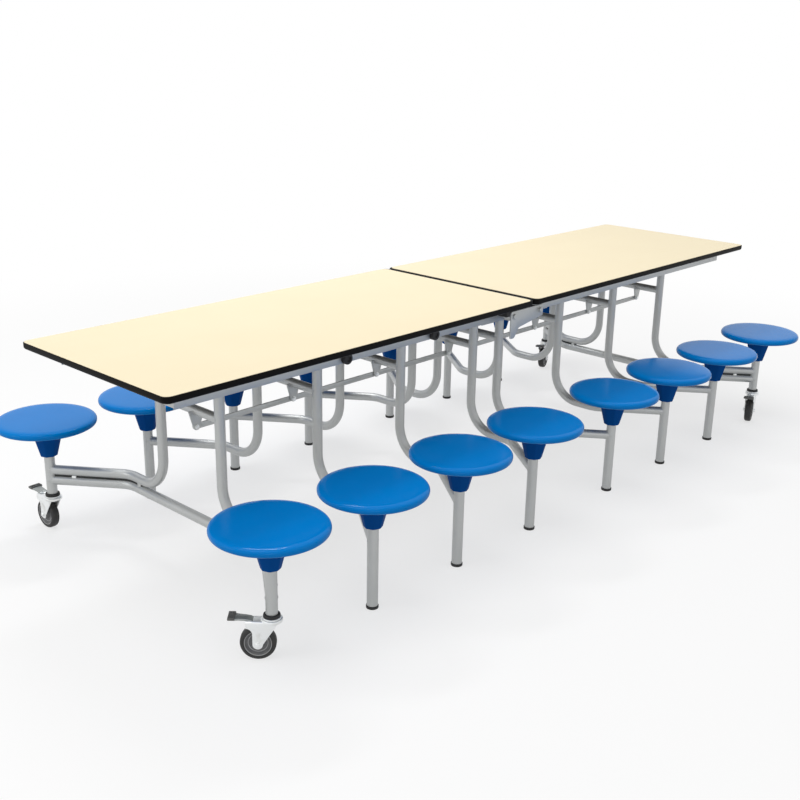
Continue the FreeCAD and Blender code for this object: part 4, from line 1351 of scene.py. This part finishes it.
def tyre_ring():
    depth = WHEEL_RADIUS - RIM_RADIUS
    ring = begin(bpy.ops.mesh.primitive_plane_add, (depth, 2 * WHEEL_HALF, 1), size=1,
                 location=(AXLE_X + RIM_RADIUS + depth / 2, 0, AXLE_Z))
    pick("verts", lambda vert: vert.co.x > AXLE_X + RIM_RADIUS + depth / 2)
    bpy.ops.mesh.bevel(offset=TYRE_SHOULDER, segments=6, affect="VERTICES")
    pick("verts", lambda vert: vert.co.x < AXLE_X + RIM_RADIUS + SNAP)
    bpy.ops.mesh.bevel(offset=TYRE_LIP, segments=2, affect="VERTICES")
    pick_all()
    bpy.ops.mesh.delete(type="ONLY_FACE")
    pick_all()
    bpy.ops.mesh.spin(steps=WHEEL_SIDES, angle=math.tau, axis=(0, 1, 0), center=(AXLE_X, 0, AXLE_Z))
    return settle(ring)


def wheel_centre():
    half = WHEEL_HALF - CENTRE_INSET
    disc = begin(bpy.ops.mesh.primitive_cylinder_add, vertices=WHEEL_SIDES, radius=RIM_RADIUS,
                 depth=2 * half, location=(AXLE_X, 0, AXLE_Z), rotation=(math.pi / 2, 0, 0))
    for way in (-1, 1):
        pick("faces", lambda face: face.normal.y * way > FACING and len(face.verts) > 4)
        for width, depth in CENTRE_STEPS:
            bpy.ops.mesh.inset(thickness=width)
            bpy.ops.transform.translate(value=(0, way * depth, 0))
    pick("edges", lambda edge: edge.calc_face_angle() > CENTRE_SHARP)
    bpy.ops.mesh.bevel(offset=CENTRE_BREAK, segments=2)
    return settle(disc)


# Pale rings whose colour paints the highlights on the wheel's rim lip and web.
def rim_highlight_rings():
    rings = []
    for way in (-1, 1):
        for radius, face in HIGHLIGHT_RINGS:
            ring = begin(bpy.ops.mesh.primitive_torus_add, major_radius=radius, minor_radius=HIGHLIGHT_RING_RADIUS,
                         major_segments=WHEEL_SIDES, minor_segments=10, rotation=(math.pi / 2, 0, 0),
                         location=(AXLE_X, way * face, AXLE_Z))
            pick("verts", lambda vert: vert.co.y * way > face + HIGHLIGHT_RING_CREST)
            bpy.ops.transform.translate(value=(0, -way * HIGHLIGHT_RING_FLAT, 0))
            rings.append(settle(ring, angle=180))
    return joined(rings)


masters = ((tyre_ring(), "tyre", tyre_rubber), (wheel_centre(), "centre", wheel_grey),
           (rim_highlight_rings(), "guard", guard_grey))
for spot in CASTORS:
    for master, word, finish in masters:
        nodes = ["castor_wheel_" + spot] if word == "tyre" else []
        piece = twin(master, castor_move(spot))
        dress(piece, f"castor_wheel_{spot}_{word}", finish, "castor_rubber", "wheel_" + spot, *nodes)
for master, word, finish in masters:
    bpy.data.objects.remove(master)
print("wheels", len(CASTORS), "of", WHEEL_RADIUS, "m radius")

# %% [markdown]
# ## Brake pedals
# The pedal is a strip of steel that rises from its pin, clears the flange and widens at its end, with
# its sides turned down to stiffen it. A ribbed pad is pushed over the end. The strip is extruded edge
# by edge along its path.

# %% Press the pedals
PEDAL_HALF = 0.014
PEDAL_WALL = 0.002
PEDAL_START = 0.034
PEDAL_ROOT = 0.006
PEDAL_ROOT_Z = 0.111
PEDAL_SIDE_DROP = 0.0055
PEDAL_FOLD = 0.0018
PEDAL_BREAK = 0.0004
PAD_HALF = 0.021
PAD_ROUND = 0.002
PAD_RIBS = 4
PAD_PITCH = 0.004
PAD_MARGIN = 0.004
PAD_RIB = 0.002
PAD_RIB_RISE = 0.0015
PAD_RIB_DROP = 0.0012
PAD_RIB_BREAK = 0.0006
PAD_START, PAD_END = 0.098, 0.118
PAD_LOW, PAD_HIGH = 0.123, 0.132
PEDAL_PATH = ((0.046, 0.1165, PEDAL_HALF), (0.056, 0.1225, PEDAL_HALF), (0.072, 0.1255, PEDAL_HALF),
              (0.090, 0.1268, 0.015), (0.100, 0.1275, 0.018), (0.114, 0.1278, 0.0195))


def pedal_strip():
    strip = begin(bpy.ops.mesh.primitive_plane_add, (PEDAL_ROOT, 2 * PEDAL_HALF, 1), size=1,
                  location=(PEDAL_START + PEDAL_ROOT / 2, 0, PEDAL_ROOT_Z))
    pick("edges", lambda edge: lies_at(edge, 0, PEDAL_START + PEDAL_ROOT))
    here = Vector((PEDAL_START + PEDAL_ROOT, PEDAL_HALF, PEDAL_ROOT_Z))
    for x, z, half in PEDAL_PATH:
        push(x - here.x, 0, z - here.z)
        bpy.ops.transform.resize(value=(1, half / here.y, 1), center_override=(x, 0, z))
        here = Vector((x, half, z))
    pick("edges", lambda edge: edge.is_boundary and middle(edge).x < PAD_START
         and abs(middle(edge).y) > PEDAL_HALF / 2)
    push(0, 0, -PEDAL_SIDE_DROP)
    deck_up(strip)
    pick("edges", lambda edge: len(edge.link_faces) == 2 and edge.calc_face_angle() > FOLD_ANGLE)
    bpy.ops.mesh.bevel(offset=PEDAL_FOLD, segments=3)
    return thickened(strip, PEDAL_WALL, PEDAL_BREAK)


def pedal_pad():
    low = Vector((PAD_START, -PAD_HALF, PAD_LOW))
    high = Vector((PAD_END, PAD_HALF, PAD_HIGH - PAD_RIB_RISE))
    pad = begin(bpy.ops.mesh.primitive_cube_add, high - low, size=1, location=(low + high) / 2)
    pick_all()
    bpy.ops.mesh.bevel(offset=PAD_ROUND, segments=3)
    settle(pad)
    ribs = []
    rib_z = PAD_HIGH - PAD_RIB_DROP
    for step in range(PAD_RIBS):
        rib = begin(bpy.ops.mesh.primitive_cube_add, (PAD_RIB, 2 * (PAD_HALF - PAD_MARGIN), PAD_RIB), size=1,
                    location=(PAD_START + PAD_MARGIN + step * PAD_PITCH, 0, rib_z))
        pick("edges", lambda edge: lies_at(edge, 2, rib_z + PAD_RIB / 2))
        bpy.ops.mesh.bevel(offset=PAD_RIB_BREAK, segments=2)
        ribs.append(settle(rib))
    return joined([pad] + ribs)


masters = ((pedal_strip(), "strip", pedal_zinc), (pedal_pad(), "pad", pad_grey))
for spot in CASTORS:
    for master, word, finish in masters:
        nodes = ["brake_pedal_" + spot] if word == "strip" else []
        piece = twin(master, castor_move(spot))
        dress(piece, f"brake_pedal_{spot}_{word}", finish, "zinc", "pedal_" + spot, *nodes)
for master, word, finish in masters:
    bpy.data.objects.remove(master)
print("pedals", len(CASTORS))

# %% [markdown]
# ## Middle yoke
# Between the leaves hangs the yoke: two gusset plates joined by a channel. The gusset is deep at leaf
# a's hinge and rises towards leaf b. It is a plane whose lower edge is divided in three, with each
# corner dragged to its place.

# %% Cut the yoke
YOKE_PLATE = 0.005
YOKE_IN = 0.326
PLATE_OUT = steel_high.y - SHEET
HINGE_NUT = PLATE_OUT - YOKE_PLATE - RUNNING_GAP
GUSSET_CORNER = 0.005
GUSSET_TOE = 0.022
BEAM_HALF = 0.035
BEAM_TOP = 0.697
BEAM_DEPTH = 0.048
yoke_low, yoke_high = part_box("hinge_yoke")
GUSSET_FOOT = ((yoke_low.x, yoke_low.z), (yoke_low.x + GUSSET_TOE, yoke_low.z),
               (-0.046, 0.637), (yoke_high.x, 0.659))


def gusset():
    """Gusset of the near side, with its outer face at the yoke's near face."""
    near = -YOKE_IN - YOKE_PLATE
    size = (yoke_high.x - yoke_low.x, yoke_high.z - yoke_low.z, 1)
    plate = begin(bpy.ops.mesh.primitive_plane_add, size, size=1, rotation=(math.pi / 2, 0, 0),
                  location=(0, near, (yoke_low.z + yoke_high.z) / 2))
    pick("edges", lambda edge: lies_at(edge, 2, yoke_low.z))
    bpy.ops.mesh.subdivide(number_cuts=2)
    shape = bmesh.from_edit_mesh(plate.data)
    foot = sorted((vert for vert in shape.verts if vert.co.z < yoke_low.z + SNAP), key=lambda vert: vert.co.x)
    for vert, (x, z) in zip(foot, GUSSET_FOOT):
        vert.co.x = x
        vert.co.z = z
    bmesh.update_edit_mesh(plate.data)
    pick_all()
    bpy.ops.mesh.bevel(offset=GUSSET_CORNER, segments=4, affect="VERTICES")
    return plated(plate, YOKE_PLATE)


near_gusset = gusset()
far_gusset = twin(near_gusset, MIRROR_Y)
beam = folded((-BEAM_HALF, BEAM_HALF), (-YOKE_IN, YOKE_IN), BEAM_TOP, BEAM_DEPTH, ["+x", "-x"])
yoke = joined([near_gusset, far_gusset, beam])
dress(yoke, "hinge_yoke", silver, "paint_silver", "hinge_yoke", "hinge_yoke")
hinge_bolts = []
for hinge in (joint_at["yoke_turn"], joint_at["leaf_b_turn"]):
    for way in (-1, 1):
        hinge_bolts += cross_bolt(hinge.x, hinge.z, way * (YOKE_IN + YOKE_PLATE), way * HINGE_NUT,
                                  PIVOT_SHANK, PIVOT_HEAD, PIVOT_HEIGHT)
dress(joined(hinge_bolts), "hinge_pins", silver, "zinc", "hinge_yoke", "hinge_pins")
print("yoke", round(yoke_high.x - yoke_low.x, 3), "m long")

# %% [markdown]
# ## Hinge plates
# Each leaf turns on the yoke with two eye plates welded inside its aprons. Each is a strap with a round
# end, and a short boss keeps it off the gusset.

# %% Cut the hinge plates
EYE_RADIUS = 0.022
BOSS_RADIUS = 0.012
plate_low, plate_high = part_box("hinge_plates_b")
eye = joint_at["leaf_b_turn"]


def hinge_plate():
    """Far hinge plate of leaf b."""
    size = (plate_high.x - plate_low.x, 2 * EYE_RADIUS, 1)
    strap = begin(bpy.ops.mesh.primitive_plane_add, size, size=1, rotation=(math.pi / 2, 0, 0),
                  location=((plate_low.x + plate_high.x) / 2, PLATE_OUT - YOKE_PLATE, eye.z))
    pick("verts", lambda vert: vert.co.x < eye.x)
    bpy.ops.mesh.bevel(offset=EYE_RADIUS - ROUND_SLACK, segments=10, affect="VERTICES")
    plated(strap, YOKE_PLATE)
    boss = plain_rod((eye.x, PLATE_OUT, eye.z), (eye.x, YOKE_IN - RUNNING_GAP, eye.z), BOSS_RADIUS, sides=32)
    return joined([strap] + boss)


far_plate = hinge_plate()
leaf_pair(joined([far_plate, twin(far_plate, MIRROR_Y)]), "hinge_plates_", silver, "paint_silver")
print("hinge plates", 2 * len(LEAVES))

# %% [markdown]
# ## Bumpers and buffers
# Round rubber bumpers on the near aprons keep folded tables from scratching each other, and two blocks
# beside the yoke stop the leaves. A bumper is a cylinder with a rolled rim and a dished face.

# %% Mould the rubber
# These four are shares of the bumper's radius or depth.
BUMPER_ROLL, BUMPER_RIM, BUMPER_DISH, BUMPER_TAPER = 0.22, 0.30, 0.22, 0.85
BUFFER_ROUND = 0.002


def bumper(x, z, face_y, radius, depth):
    """Bumper standing on the near apron."""
    pad = begin(bpy.ops.mesh.primitive_cylinder_add, vertices=48, radius=radius, depth=depth,
                location=(x, face_y - depth / 2, z), rotation=(math.pi / 2, 0, 0))
    pick("edges", lambda edge: lies_at(edge, 1, face_y - depth))
    bpy.ops.mesh.bevel(offset=radius * BUMPER_ROLL, segments=5)
    pick("faces", lambda face: face.normal.y < -FACING and len(face.verts) > 4)
    bpy.ops.mesh.inset(thickness=radius * BUMPER_RIM)
    push(0, depth * BUMPER_DISH, 0)
    bpy.ops.transform.resize(value=(BUMPER_TAPER, 1, BUMPER_TAPER), center_override=(x, face_y, z))
    return settle(pad)


def buffer_block(low, high):
    block = begin(bpy.ops.mesh.primitive_cube_add, high - low, size=1, location=(low + high) / 2)
    pick_all()
    bpy.ops.mesh.bevel(offset=BUFFER_ROUND, segments=3)
    return settle(block)


BUMPERS = {"a": (-0.450, -0.850, 0.018), "b": (0.140, 0.480, 0.009)}
BUMPER_DEPTH = 0.016
BUFFER_DEPTH, BUFFER_HEIGHT = 0.056, 0.0257
for leaf, (first, second, radius) in BUMPERS.items():
    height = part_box("bumpers_" + leaf)[0].z + radius
    items = [bumper(x, height, -steel_high.y, radius, BUMPER_DEPTH) for x in (first, second)]
    if leaf == "a":
        start = Vector((-APRON_START, PLATE_OUT, bumper_high.z - BUFFER_HEIGHT))
        far_block = buffer_block(start, start + Vector((BUFFER_LENGTH, BUFFER_DEPTH, BUFFER_HEIGHT)))
        items += [far_block, twin(far_block, MIRROR_Y)]
    dress(joined(items), "bumpers_" + leaf, rubber, "rubber_black", "leaf_" + leaf, "bumpers_" + leaf)
print("bumpers", 2 * len(BUMPERS))
